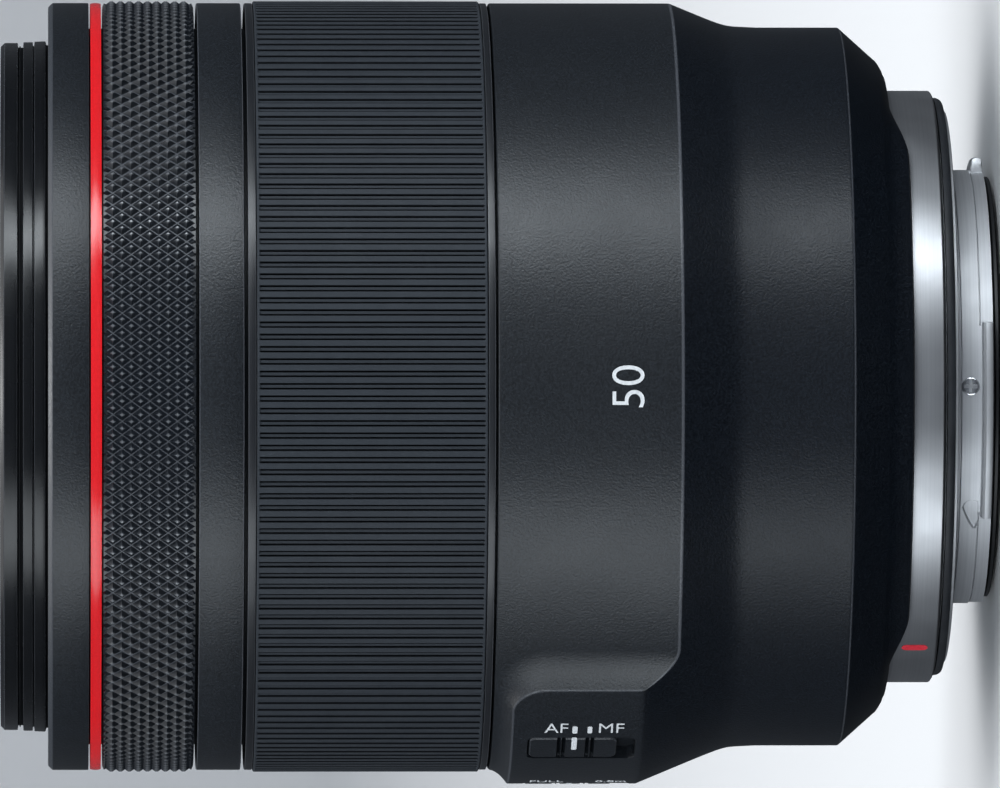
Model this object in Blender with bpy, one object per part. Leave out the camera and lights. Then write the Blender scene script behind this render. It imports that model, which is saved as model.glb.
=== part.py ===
"""A prime camera lens for a mirrorless camera, as an assembly of separate named pieces.

The lens stands on its bayonet end. +Z runs along the optical axis towards the front glass, the origin is
on that axis at the lowest point, and the engraved side faces -Y. The focusing unit slides forward as a cam
ring turns, the control ring and the focus ring turn without limit, two switches slide, and ten blades close
the iris.
"""

import math

import bmesh
import bpy
from mathutils import Matrix, Vector

MM = 0.001

# Driving dimensions in millimetres. A depth is a distance behind the front rim, along the optical axis.
LENGTH = 108.0  # front rim to the mounting face
BAYONET_REACH = 5.0  # mounting face to the rearmost rim
BARREL_RADIUS = 43.88
GRIP_RADIUS = 44.1
WAIST_RADIUS = 41.13
SLEEVE_RADIUS = 41.0  # the fixed tube that the two turning rings run on
RING_BORE = 41.4
MOUNT_RADIUS = 33.9
BAYONET_RADIUS = 24.85
TAB_RADIUS = 26.3
GAP = 0.3  # air left between neighbours

OUTER_SIDES = 36
INNER_SIDES = 24
GLASS_SIDES = 20
PIN_SIDES = 6

# Switch panel: a raised island on the rear barrel. Turns are angles from the engraved side, towards -X.
PANEL_RADIUS = 45.5
PANEL_TURN = 74.3
PANEL_HALF_TURN = 25.3
PANEL_FRONT = 57.9
PANEL_CORNER = 4.0
PANEL_FLANK = 5.1  # width of the hollow flank beside the panel
FRONT_FLANK = 2.2  # and in front of it
SHOULDER_DEPTH = 76.4  # the barrel starts to narrow here
SHOULDER_SLOPE = 0.42
SWITCH_TURNS = {"focus_mode_switch": 64.5, "focus_limit_switch": 88.0}
SLOT_FRONT, SLOT_REAR, SLOT_WIDTH = 59.7, 71.9, 5.8
SWITCH_LENGTH, SWITCH_WIDTH = 9.9, 5.3

# Focusing: a pin on the sleeve runs in a straight slot of the guide and in a sloping slot of the cam ring.
FOCUS_TRAVEL = 9.0
CAM_TURN = 75.0
PIN_DEPTH = 60.0
PIN_RADIUS = 1.5
SLOT_HALF = 1.9
PIN_TURNS = (30.0, 150.0, 270.0)

# Iris: each blade swings about a pivot pin, pushed by a second pin in a curved slot of the iris ring.
BLADES = 10
BLADE_THICK = 0.12
BLADE_STEP = 0.22  # each blade lies this far in front of the one before
BLADE_INNER, BLADE_OUTER = 17.8, 24.6
BLADE_SPAN = 112.0
PIVOT_CIRCLE = 26.6
DRIVE_CIRCLE, DRIVE_TURN = 26.8, 8.0
BLADE_TURN, IRIS_TURN = 36.0, 24.0
IRIS_BASE_DEPTH = 47.7
IRIS_RING_DEPTH, IRIS_RING_THICK = 43.9, 0.8

# Glass groups: depth of the front vertex, curve of the front and of the rear face, thickness, rim radius.
# A curve is positive where the face bulges to the front.
GLASS = {
    "glass_group_1": (9.5, 66.0, 230.0, 6.0, 27.5),
    "glass_group_2": (15.9, 43.0, 56.0, 8.5, 25.0),
    "glass_group_3": (26.4, 38.0, 28.0, 7.9, 20.0),
    "glass_group_4": (56.0, -27.0, -42.0, 9.1, 18.0),
    "glass_group_5": (65.5, 110.0, -140.0, 8.6, 19.5),
    "glass_group_6": (74.5, 80.0, -260.0, 4.6, 20.0),
    "glass_group_7": (79.5, 140.0, 150.0, 8.0, 20.5),
    "glass_group_8": (93.0, -60.0, -110.0, 6.2, 19.0),
    "glass_group_9": (99.8, 300.0, -150.0, 3.0, 19.5),
}

# Bayonet: three tabs, four screws through the mounting face, twelve contact pins.
TABS = ((9.5, 26.3), (133.0, 22.8), (249.5, 26.3))  # middle turn and half width of each
SCREW_TURNS = (45.0, 135.0, 225.0, 315.0)
SCREW_CIRCLE = 28.3
CONTACTS = 12
CONTACT_CIRCLE = 21.3
CONTACT_PITCH = 4.7  # degrees
CONTACT_AZIMUTH = 90.0

# Colour, roughness and metallic value of each finish.
FINISHES = {
    "black_barrel": ((0.030, 0.033, 0.038), 0.45, 0.0),
    "black_metal": ((0.028, 0.030, 0.034), 0.35, 0.6),
    "black_rubber": ((0.022, 0.024, 0.028), 0.60, 0.0),
    "red_paint": ((0.75, 0.02, 0.03), 0.35, 0.0),
    "silver_metal": ((0.55, 0.57, 0.60), 0.28, 1.0),
    "inner_metal": ((0.30, 0.31, 0.33), 0.45, 1.0),
    "brass": ((0.60, 0.42, 0.16), 0.30, 1.0),
    "blade_steel": ((0.05, 0.05, 0.055), 0.40, 0.8),
    "glass": ((0.55, 0.62, 0.70), 0.02, 0.0),
    "gold": ((0.80, 0.56, 0.20), 0.25, 1.0),
    "circuit": ((0.03, 0.16, 0.09), 0.50, 0.0),
}


def height(depth):
    """World height, in metres, of a depth behind the front rim, in millimetres."""
    return (LENGTH + BAYONET_REACH - depth) * MM


def azimuth(turn):
    """Angle about +Z, in radians, of a turn in degrees from the engraved side towards -X."""
    return math.radians(-90.0 - turn)


def polar(radius, angle):
    """(x, y) in millimetres of a radius and an angle in radians."""
    return radius * math.cos(angle), radius * math.sin(angle)


def smooth(x):
    """0 below 0, 1 above 1, and an S-curve between."""
    x = min(max(x, 0.0), 1.0)
    return x * x * (3.0 - 2.0 * x)


def clear_scene():
    for thing in list(bpy.data.objects):
        bpy.data.objects.remove(thing, do_unlink=True)


def finish(name):
    """The material of one finish, made once."""
    made = bpy.data.materials.get(name)
    if made is None:
        colour, roughness, metallic = FINISHES[name]
        made = bpy.data.materials.new(name)
        made.use_nodes = True
        shader = made.node_tree.nodes["Principled BSDF"]
        shader.inputs["Base Color"].default_value = (*colour, 1.0)
        shader.inputs["Roughness"].default_value = roughness
        shader.inputs["Metallic"].default_value = metallic
    return made


def add_piece(name, shape, material, smooth_faces=True):
    """Turns a bmesh into a named object with its finish."""
    bmesh.ops.recalc_face_normals(shape, faces=shape.faces)
    mesh = bpy.data.meshes.new(name)
    shape.to_mesh(mesh)
    shape.free()
    mesh.materials.append(finish(material))
    if smooth_faces:
        mesh.shade_smooth()
        mesh.set_sharp_from_angle(angle=math.radians(35.0))
    piece = bpy.data.objects.new(name, mesh)
    bpy.context.scene.collection.objects.link(piece)
    return piece


def turned(name, outline, material, sides=OUTER_SIDES):
    """A ring or a disc turned about the optical axis from a closed outline of (radius, depth) points."""
    shape = bmesh.new()
    corners = [shape.verts.new((radius * MM, 0.0, height(depth))) for radius, depth in outline]
    for here, after in zip(corners, corners[1:] + corners[:1]):
        if here.co.x > 0 or after.co.x > 0:
            shape.edges.new((here, after))
    bmesh.ops.spin(
        shape,
        geom=shape.verts[:] + shape.edges[:],
        cent=(0, 0, 0),
        axis=(0, 0, 1),
        angle=math.tau,
        steps=sides,
        use_merge=True,
    )
    bmesh.ops.remove_doubles(shape, verts=shape.verts, dist=1e-7)
    return add_piece(name, shape, material)


def swept(name, angles, outline_at, material):
    """A ring whose outline changes on the way round; outline_at(angle) keeps one number of points."""
    shape = bmesh.new()
    rings = []
    for angle in angles:
        places = [(*polar(radius, angle), depth) for radius, depth in outline_at(angle)]
        rings.append([shape.verts.new((x * MM, y * MM, height(depth))) for x, y, depth in places])
    count = len(rings[0])
    for here, after in zip(rings, rings[1:] + rings[:1]):
        for i in range(count):
            j = (i + 1) % count
            shape.faces.new((here[i], after[i], after[j], here[j]))
    return add_piece(name, shape, material)


def circle(x, y, radius, sides):
    """Corner points of a regular polygon."""
    angles = [math.tau * k / sides for k in range(sides)]
    return [(x + radius * math.cos(a), y + radius * math.sin(a)) for a in angles]


def arc(radius, start, end, steps):
    """Points along an arc about the optical axis, angles in radians."""
    return [polar(radius, start + (end - start) * k / steps) for k in range(steps + 1)]


def sector(inner, outer, start, end, steps):
    """Outline of a piece of a ring."""
    return arc(outer, start, end, steps) + arc(inner, end, start, steps)


def plate(name, outline, holes, front, thick, material):
    """A flat plate square to the optical axis, with holes, from outlines of (x, y) points in millimetres."""
    curve = bpy.data.curves.new(name, "CURVE")
    curve.dimensions = "2D"
    curve.fill_mode = "BOTH"
    curve.extrude = 0.5 * thick * MM
    for points in (outline, *holes):
        spline = curve.splines.new("POLY")
        spline.points.add(len(points) - 1)
        for point, (x, y) in zip(spline.points, points):
            point.co = (x * MM, y * MM, 0.0, 1.0)
        spline.use_cyclic_u = True
    curve.materials.append(finish(material))
    piece = bpy.data.objects.new(name, curve)
    piece.location = (0.0, 0.0, height(front + 0.5 * thick))
    bpy.context.scene.collection.objects.link(piece)
    return piece


def pinned_plate(name, outline, pins, front, thick, material):
    """A flat plate with round pins on it. A pin is (x, y, radius, how far in front, how far behind)."""
    shape = bmesh.new()
    loops = [outline] + [circle(x, y, radius, PIN_SIDES) for x, y, radius, _, _ in pins]
    discs = []
    for k, points in enumerate(loops):
        ring = [shape.verts.new((x * MM, y * MM, height(front + thick))) for x, y in points]
        for here, after in zip(ring, ring[1:] + ring[:1]):
            shape.edges.new((here, after))
        if k:
            discs.append(ring)
    bmesh.ops.triangle_fill(shape, use_beauty=True, edges=shape.edges[:])
    inside = [shape.faces.new(ring) for ring in discs]
    bmesh.ops.recalc_face_normals(shape, faces=shape.faces)
    made = bmesh.ops.extrude_face_region(shape, geom=shape.faces[:], use_keep_orig=True)
    lifted = [item for item in made["geom"] if isinstance(item, bmesh.types.BMVert)]
    bmesh.ops.translate(shape, verts=lifted, vec=(0, 0, thick * MM))
    faces = [item for item in made["geom"] if isinstance(item, bmesh.types.BMFace)]
    tops = [face for face in faces if len(face.verts) == PIN_SIDES]
    for face in inside + tops:
        behind = face in inside
        spot = face.calc_center_median() / MM
        pin = min(pins, key=lambda p: math.hypot(p[0] - spot.x, p[1] - spot.y))
        reach = -pin[4] if behind else pin[3]
        if reach:
            grown = bmesh.ops.extrude_discrete_faces(shape, faces=[face])
            bmesh.ops.translate(shape, verts=grown["faces"][0].verts, vec=(0, 0, reach * MM))
    bmesh.ops.remove_doubles(shape, verts=shape.verts, dist=1e-7)
    return add_piece(name, shape, material, smooth_faces=False)


def rod(name, radius, start, end, material, sides=10, head=None):
    """A round rod between two points in metres, with an optional wider head: (radius, length) at its end."""
    shape = bmesh.new()
    along = Vector(end) - Vector(start)
    outline = [(0.0, 0.0), (radius * MM, 0.0)]
    if head:
        step = along.length - head[1] * MM
        outline += [(radius * MM, step), (head[0] * MM, step), (head[0] * MM, along.length)]
    else:
        outline += [(radius * MM, along.length)]
    outline += [(0.0, along.length)]
    corners = [shape.verts.new((r, 0.0, z)) for r, z in outline]
    for here, after in zip(corners, corners[1:]):
        shape.edges.new((here, after))
    bmesh.ops.spin(
        shape,
        geom=shape.verts[:] + shape.edges[:],
        cent=(0, 0, 0),
        axis=(0, 0, 1),
        angle=math.tau,
        steps=sides,
        use_merge=True,
    )
    bmesh.ops.remove_doubles(shape, verts=shape.verts, dist=1e-7)
    piece = add_piece(name, shape, material)
    piece.rotation_mode = "QUATERNION"
    piece.rotation_quaternion = along.to_track_quat("Z", "Y")
    piece.location = start
    return piece


def block(name, size, place, turn, material, bevel=0.0):
    """A box whose X faces outwards at this turn about the axis. size and place: radial, tangential, axial."""
    shape = bmesh.new()
    bmesh.ops.create_cube(shape, size=1.0)
    bmesh.ops.scale(shape, vec=Vector(size) * MM, verts=shape.verts)
    if bevel:
        edges = [e for e in shape.edges if abs((e.verts[0].co - e.verts[1].co).x) > 1e-6]
        bmesh.ops.bevel(shape, geom=edges, offset=bevel * MM, segments=2, affect="EDGES", profile=0.5)
    piece = add_piece(name, shape, material, smooth_faces=False)
    radius, aside, depth = place
    away = Matrix.Translation((radius * MM, aside * MM, height(depth)))
    piece.matrix_world = Matrix.Rotation(azimuth(turn), 4, "Z") @ away
    return piece


def as_cutter(piece):
    piece.hide_render = True
    piece.display_type = "WIRE"
    return piece


def cut(piece, cutter):
    """Takes the cutter's shape out of the piece."""
    change = piece.modifiers.new("cut_" + cutter.name, "BOOLEAN")
    change.object = cutter
    change.operation = "DIFFERENCE"
    change.solver = "EXACT"


# ---- barrel ----


def panel_weight(turn, depth):
    """1 on the switch panel, falling to 0 over a hollow flank round it."""
    across = abs((turn - PANEL_TURN + 180.0) % 360.0 - 180.0)
    side = math.radians(across - PANEL_HALF_TURN) * PANEL_RADIUS + PANEL_CORNER
    ahead = (PANEL_FRONT - depth) * PANEL_FLANK / FRONT_FLANK + PANEL_CORNER
    away = math.hypot(max(side, 0.0), max(ahead, 0.0)) - PANEL_CORNER
    return (1.0 - min(max(away / PANEL_FLANK, 0.0), 1.0)) ** 2


def barrel_skin(turn, depth):
    """Outer radius of the rear barrel: the cylinder, raised at the panel, cut off by the sloping end."""
    raised = BARREL_RADIUS + (PANEL_RADIUS - BARREL_RADIUS) * panel_weight(turn, depth)
    sloping = BARREL_RADIUS - SHOULDER_SLOPE * (depth - SHOULDER_DEPTH)
    return min(raised, sloping)


def rear_edge(turn):
    """How much further back the barrel's rear edge reaches, on the engraved side and opposite it."""
    folded = abs((turn + 90.0) % 180.0 - 90.0)
    return 1.8 * smooth((64.0 - folded) / 17.0)


def rear_barrel():
    fine = [PANEL_TURN - PANEL_HALF_TURN + k for k in (-7.0, -4.5, -2.0, 0.0, 2.5)]
    fine += [PANEL_TURN + PANEL_HALF_TURN + k for k in (-2.5, 0.0, 2.0, 4.5, 7.0)]
    fine += [PANEL_TURN + k for k in (-15.0, -7.5, 0.0, 7.5, 15.7)]
    coarse = [k * 360.0 / OUTER_SIDES for k in range(OUTER_SIDES)]
    turns = sorted(fine + [t for t in coarse if all(abs(t - f) > 3.0 for f in fine)])

    def outline(angle):
        turn = (-90.0 - math.degrees(angle)) % 360.0
        end = 101.0 + rear_edge(turn)
        depths = (55.75, 56.8, PANEL_FRONT, 60.5, 72.5, SHOULDER_DEPTH, 80.0)
        skin = [(barrel_skin(turn, depth), depth) for depth in depths]
        skin += [(WAIST_RADIUS, 84.8), (WAIST_RADIUS, 95.8), (37.4, 99.9), (36.0, end - 0.4), (34.4, end)]
        bore = [(34.4, 98.9), (35.8, 98.9), (39.3, 95.2), (39.3, 82.5), (41.3, 76.0), (41.3, 55.75)]
        return skin + bore

    barrel = swept("rear_barrel", [azimuth(t) for t in turns], outline, "black_barrel")
    for name, turn in SWITCH_TURNS.items():
        size = (9.0, SLOT_WIDTH, SLOT_REAR - SLOT_FRONT)
        place = (44.0, 0.0, 0.5 * (SLOT_FRONT + SLOT_REAR))
        cut(barrel, as_cutter(block(name + "_slot", size, place, turn, "black_barrel", bevel=1.0)))


def outer_rings():
    """The fixed sleeve with its smooth band, the front cover, the red line and the two turning rings."""
    band_front, band_rear = 22.26, 27.4
    turned(
        "main_sleeve",
        [(39.9, 8.6), (SLEEVE_RADIUS, 8.6), (SLEEVE_RADIUS, band_front), (BARREL_RADIUS, band_front)]
        + [(BARREL_RADIUS, band_rear), (SLEEVE_RADIUS, band_rear), (SLEEVE_RADIUS, 60.0), (39.9, 60.0)],
        "black_barrel",
    )
    turned(
        "front_cover",
        [(39.95, 5.33), (43.2, 5.33), (BARREL_RADIUS, 6.0), (BARREL_RADIUS, 10.05)]
        + [(41.3, 10.05), (41.3, 8.3), (39.95, 8.3)],
        "black_barrel",
    )
    turned(
        "red_line",
        [(41.3, 10.15), (BARREL_RADIUS, 10.15), (BARREL_RADIUS, 11.4), (41.3, 11.4)],
        "red_paint",
    )
    turned(
        "control_ring",
        [(RING_BORE, 11.7), (43.9, 11.7), (GRIP_RADIUS, 11.9)]
        + [(GRIP_RADIUS, 21.75), (43.9, 21.95), (RING_BORE, 21.95)],
        "black_metal",
    )
    turned(
        "focus_ring",
        [(RING_BORE, 27.75), (BARREL_RADIUS, 27.75), (BARREL_RADIUS, 28.75), (42.8, 28.75), (42.8, 54.3)]
        + [(BARREL_RADIUS, 54.3), (BARREL_RADIUS, 55.3), (RING_BORE, 55.3)],
        "black_metal",
    )
    turned(
        "focus_grip",
        [(42.95, 28.9), (43.8, 28.9), (GRIP_RADIUS, 29.2)]
        + [(GRIP_RADIUS, 53.85), (43.8, 54.15), (42.95, 54.15)],
        "black_rubber",
    )


def switches():
    """Two slide switches in the panel and the carrier of their contacts behind them."""
    for name, turn in SWITCH_TURNS.items():
        size = (3.7, SWITCH_WIDTH, SWITCH_LENGTH)
        place = (43.7, 0.0, SLOT_FRONT + 0.2 + 0.5 * SWITCH_LENGTH)
        block(name, size, place, turn, "black_barrel", bevel=0.8)
    plate(
        "switch_carrier", sector(39.8, 41.0, azimuth(96.0), azimuth(57.0), 6), [], 61.0, 11.0, "circuit"
    )


# ---- focusing unit ----


def slotted_tube(name, outer, wall, front, rear, slot, material):
    """A thin tube with three slots. slot is (from, to, slope, ahead, behind): degrees from the pin,
    millimetres of depth per degree, and the reach in front of the slot's middle line and behind it."""
    start, end, slope, ahead, behind = slot
    sector_turn = 120.0
    steps_on = max(1, round((end - start) / 10.0))
    steps_off = max(2, round((sector_turn - (end - start)) / 12.0))
    shape = bmesh.new()
    columns, open_from = [], []
    for base in PIN_TURNS:
        for k in range(steps_on):
            share = k / steps_on
            columns.append((base + start + (end - start) * share, share))
            open_from.append(True)
        for k in range(steps_off):
            share = 1.0 - smooth(k / steps_off)
            columns.append((base + end + (sector_turn - (end - start)) * k / steps_off, share))
            open_from.append(False)
    rows = []
    for turn, share in columns:
        middle = PIN_DEPTH + slope * (start + (end - start) * share)
        depths = (front, middle - ahead, middle + behind, rear)
        x, y = polar(outer, math.radians(turn))
        rows.append([shape.verts.new((x * MM, y * MM, height(depth))) for depth in depths])
    for k, here in enumerate(rows):
        after = rows[(k + 1) % len(rows)]
        for i in range(3):
            if not (i == 1 and open_from[k]):
                shape.faces.new((here[i], here[i + 1], after[i + 1], after[i]))
    tube = add_piece(name, shape, material)
    wall_change = tube.modifiers.new("wall", "SOLIDIFY")
    wall_change.thickness = wall * MM
    wall_change.offset = -1.0
    wall_change.use_even_offset = True
    return tube


def focus_drive():
    """The fixed guide, the cam ring round it, and the ring motor that turns the cam ring."""
    half = math.degrees(SLOT_HALF / 34.0)
    straight = (-half, half, 0.0, FOCUS_TRAVEL + SLOT_HALF, SLOT_HALF)
    slotted_tube("guide_barrel", 34.6, 1.2, 27.5, 66.0, straight, "inner_metal")
    sloping = (-CAM_TURN - half, half, FOCUS_TRAVEL / CAM_TURN, SLOT_HALF, SLOT_HALF)
    slotted_tube("cam_ring", 36.2, 1.1, 46.0, 64.0, sloping, "brass")
    turned("motor_rotor", [(36.65, 56.0), (39.2, 56.0), (39.2, 59.4), (36.65, 59.4)], "brass")
    turned("motor_stator", [(36.65, 59.8), (39.2, 59.8), (39.2, 66.0), (36.65, 66.0)], "inner_metal")
    turned("motor_base", [(33.5, 66.3), (39.4, 66.3), (39.4, 68.3), (33.5, 68.3)], "black_metal")


def focus_unit():
    """Everything that slides forward: the front barrel, the sleeve and the cells that hold the glass."""
    turned(
        "front_barrel",
        [(38.5, 0.0), (38.9, 0.0), (39.3, 0.4), (39.3, 2.05), (38.7, 2.05)]
        + [(38.7, 2.6), (39.6, 2.6), (39.6, 25.0)]
        + [(38.0, 25.0), (38.0, 5.4), (38.5, 5.4)],
        "black_metal",
    )
    turned(
        "front_trim",
        [(33.0, 5.7), (37.8, 5.7), (37.8, 7.5), (33.6, 7.5), (29.6, 13.4), (28.4, 13.4), (28.4, 12.0)],
        "black_metal",
    )
    turned(
        "focus_sleeve",
        [(31.4, 22.0), (37.8, 22.0), (37.8, 24.0), (32.9, 24.0), (32.9, 68.0), (31.4, 68.0)],
        "inner_metal",
    )
    turned(
        "front_cell",
        [(27.8, 13.8), (31.0, 13.8), (31.0, 32.0), (22.6, 33.0), (22.6, 43.1), (20.3, 43.1)]
        + [(20.3, 30.6), (25.3, 30.6), (25.3, 17.6), (27.8, 17.6)],
        "black_metal",
        INNER_SIDES,
    )
    turned(
        "rear_cell",
        [(18.3, 48.9), (31.0, 48.9), (31.0, 51.0), (22.6, 51.0), (22.6, 89.4), (20.8, 89.4)]
        + [(20.8, 73.5), (19.8, 73.5), (19.8, 66.6), (18.3, 66.6)],
        "black_metal",
        INNER_SIDES,
    )
    for k, turn in enumerate(PIN_TURNS):
        angle = math.radians(turn)
        ends = [Vector((*polar(radius * MM, angle), height(PIN_DEPTH))) for radius in (33.1, 36.0)]
        rod(f"cam_pin_{k + 1}", PIN_RADIUS, *ends, "brass")


def sag(curve, radius):
    """How far behind its vertex a spherical face lies at this radius."""
    return curve - math.copysign(math.sqrt(curve * curve - radius * radius), curve)


def glass():
    for name, (vertex, front, rear, thick, rim) in GLASS.items():
        radii = [0.0, 0.6 * rim, rim]
        outline = [(r, vertex + sag(front, r)) for r in radii]
        outline += [(r, vertex + thick + sag(rear, r)) for r in reversed(radii)]
        turned(name, outline, "glass", GLASS_SIDES)


# ---- iris ----


def blade_outline():
    """A crescent from its pivot end, with a tab outside it that carries both pins."""
    steps = 9
    tip = math.radians(BLADE_SPAN)
    heel = math.radians(-3.5)
    inner = arc(BLADE_INNER, tip, heel, steps)
    tab = [polar(28.0, math.radians(-2.5)), polar(28.2, math.radians(3.0)), polar(28.0, math.radians(10.0))]
    outer = arc(BLADE_OUTER, math.radians(13.0), tip, steps - 2)
    return inner + tab + outer


def rotated(points, angle):
    c, s = math.cos(angle), math.sin(angle)
    return [(c * x - s * y, s * x + c * y) for x, y in points]


def iris():
    drive = polar(DRIVE_CIRCLE, math.radians(DRIVE_TURN))
    pitch = math.tau / BLADES
    lowest = IRIS_BASE_DEPTH - GAP
    for k in range(BLADES):
        behind = lowest - k * BLADE_STEP  # rear face of this blade
        pins = [
            (PIVOT_CIRCLE, 0.0, 0.6, 0.0, IRIS_BASE_DEPTH + 0.6 - behind),
            (*drive, 0.5, behind - BLADE_THICK - IRIS_RING_DEPTH, 0.0),
        ]
        turn = k * pitch
        spun = [(*rotated([pin[:2]], turn)[0], *pin[2:]) for pin in pins]
        outline = rotated(blade_outline(), turn)
        name = f"iris_blade_{k + 1:02d}"
        pinned_plate(name, outline, spun, behind - BLADE_THICK, BLADE_THICK, "blade_steel")
    holes = [circle(0.0, 0.0, 17.5, INNER_SIDES)]
    holes += [circle(*polar(PIVOT_CIRCLE, k * pitch), 0.9, PIN_SIDES) for k in range(BLADES)]
    plate("iris_base", circle(0, 0, 30.9, INNER_SIDES), holes, IRIS_BASE_DEPTH, 0.8, "black_metal")
    path = []
    for share in (k / 3 for k in range(4)):
        pin = Vector(drive) - Vector((PIVOT_CIRCLE, 0.0))
        swung = rotated([pin], math.radians(BLADE_TURN * share))[0]
        path.append(rotated([(swung[0] + PIVOT_CIRCLE, swung[1])], math.radians(-IRIS_TURN * share))[0])
    slot = widened(path, 0.8)
    holes = [circle(0.0, 0.0, 23.1, INNER_SIDES)]
    holes += [rotated(slot, k * pitch) for k in range(BLADES)]
    rim = circle(0, 0, 29.4, INNER_SIDES)
    plate("iris_ring", rim, holes, IRIS_RING_DEPTH, IRIS_RING_THICK, "black_metal")


def widened(path, half):
    """Outline of a slot of this half width along a path, with pointed round ends."""
    points = [Vector(p) for p in path]
    left, right = [], []
    for k, point in enumerate(points):
        along = (points[min(k + 1, len(points) - 1)] - points[max(k - 1, 0)]).normalized()
        aside = Vector((-along.y, along.x)) * half
        left.append(point + aside)
        right.append(point - aside)
    first = (points[0] - points[1]).normalized() * half
    last = (points[-1] - points[-2]).normalized() * half
    tip = [points[-1] + last + 0.45 * (side[-1] - points[-1]) for side in (left, right)]
    tail = [points[0] + first + 0.45 * (side[0] - points[0]) for side in (right, left)]
    return [tuple(p) for p in left + tip + right[::-1] + tail]


# ---- mount ----


def screw_clearances():
    """One cutter with the holes of all four mount screws: a wide seat for the head, a hole for the shank."""
    shape = bmesh.new()
    for turn in SCREW_TURNS:
        x, y = polar(SCREW_CIRCLE * MM, math.radians(turn))
        outline = [(0.0, 101.2), (1.15, 101.2), (1.15, 106.95), (1.8, 106.95), (1.8, 109.5), (0.0, 109.5)]
        corners = [shape.verts.new((x + r * MM, y, height(depth))) for r, depth in outline]
        edges = [shape.edges.new(pair) for pair in zip(corners, corners[1:])]
        bmesh.ops.spin(
            shape,
            geom=corners + edges,
            cent=(x, y, 0),
            axis=(0, 0, 1),
            angle=math.tau,
            steps=8,
            use_merge=True,
        )
    bmesh.ops.remove_doubles(shape, verts=shape.verts, dist=1e-7)
    return as_cutter(add_piece("screw_clearances", shape, "silver_metal"))


def bayonet(clearances):
    """The steel mount: a flat flange, a short tube and three tabs that hook behind the camera's ring."""
    wall = 0.4  # degrees over which a tab's end wall stands
    marks = []
    for turn, half in TABS:
        for side in (-1.0, 1.0):
            marks += [turn + side * half, turn + side * (half + wall)]
    coarse = [k * 360.0 / OUTER_SIDES for k in range(OUTER_SIDES)]
    marks = [mark % 360.0 for mark in marks]
    turns = sorted(marks + [t for t in coarse if all(abs(t - mark) > 2.0 for mark in marks)])

    def outline(angle):
        turn = -90.0 - math.degrees(angle)
        on_tab = any(abs((turn - t + 180.0) % 360.0 - 180.0) < half + 0.5 * wall for t, half in TABS)
        edge = TAB_RADIUS if on_tab else BAYONET_RADIUS
        skin = [(31.7, 106.45), (31.7, LENGTH), (BAYONET_RADIUS, LENGTH), (BAYONET_RADIUS, 110.9)]
        skin += [(edge, 110.95), (edge, 112.0), (edge - 0.3, 112.3)]
        return skin + [(22.9, 112.3), (22.9, 106.45)]

    mount = swept("bayonet_mount", [azimuth(t) for t in turns], outline, "silver_metal")
    cut(mount, clearances)
    depth = 109.7
    ends = [Vector((*polar(radius * MM, azimuth(0.0)), height(depth))) for radius in (21.0, 27.0)]
    cut(mount, as_cutter(rod("baffle_screw_hole", 1.2, *ends, "silver_metal")))
    ends = [Vector((*polar(radius * MM, azimuth(0.0)), height(depth))) for radius in (22.75, 24.8)]
    rod("baffle_screw", 0.6, *ends, "silver_metal", head=(1.05, 0.8))
    for k, turn in enumerate(SCREW_TURNS):
        x, y = polar(SCREW_CIRCLE * MM, math.radians(turn))
        ends = [(x, y, height(102.0)), (x, y, height(107.95))]
        rod(f"mount_screw_{k + 1}", 0.9, *ends, "silver_metal", head=(1.6, 0.8))


def mount():
    """Rear end: the inner base, the silver ring with its index mark, the dust seal and the bayonet."""
    clearances = screw_clearances()
    base = turned(
        "mount_base",
        [(25.6, 93.0), (39.0, 93.0), (39.0, 94.8), (30.9, 94.8), (30.9, 106.2), (25.6, 106.2)],
        "inner_metal",
        INNER_SIDES,
    )
    cut(base, clearances)
    ring = turned(
        "mount_ring",
        [(31.3, 99.2), (MOUNT_RADIUS, 99.2), (MOUNT_RADIUS, 105.8), (33.3, 106.35), (31.3, 106.35)],
        "silver_metal",
    )
    index_turn, index_depth = 61.0, 103.8
    place = (34.2, 0.0, index_depth)
    pocket = block("index_pocket", (2.0, 1.6, 3.3), place, index_turn, "silver_metal", bevel=0.4)
    cut(ring, as_cutter(pocket))
    block("index_mark", (0.55, 1.3, 3.0), (33.65, 0.0, index_depth), index_turn, "red_paint", bevel=0.4)
    turned(
        "dust_seal",
        [(31.95, 106.5), (33.1, 106.5), (33.1, 107.2), (32.8, 107.6), (31.95, 107.6)],
        "black_rubber",
    )
    bayonet(clearances)
    turned(
        "rear_group_cell",
        [(19.3, 90.9), (24.9, 90.9), (24.9, 103.4), (19.8, 103.4), (19.8, 99.0), (19.3, 99.0)],
        "black_metal",
        INNER_SIDES,
    )


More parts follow.
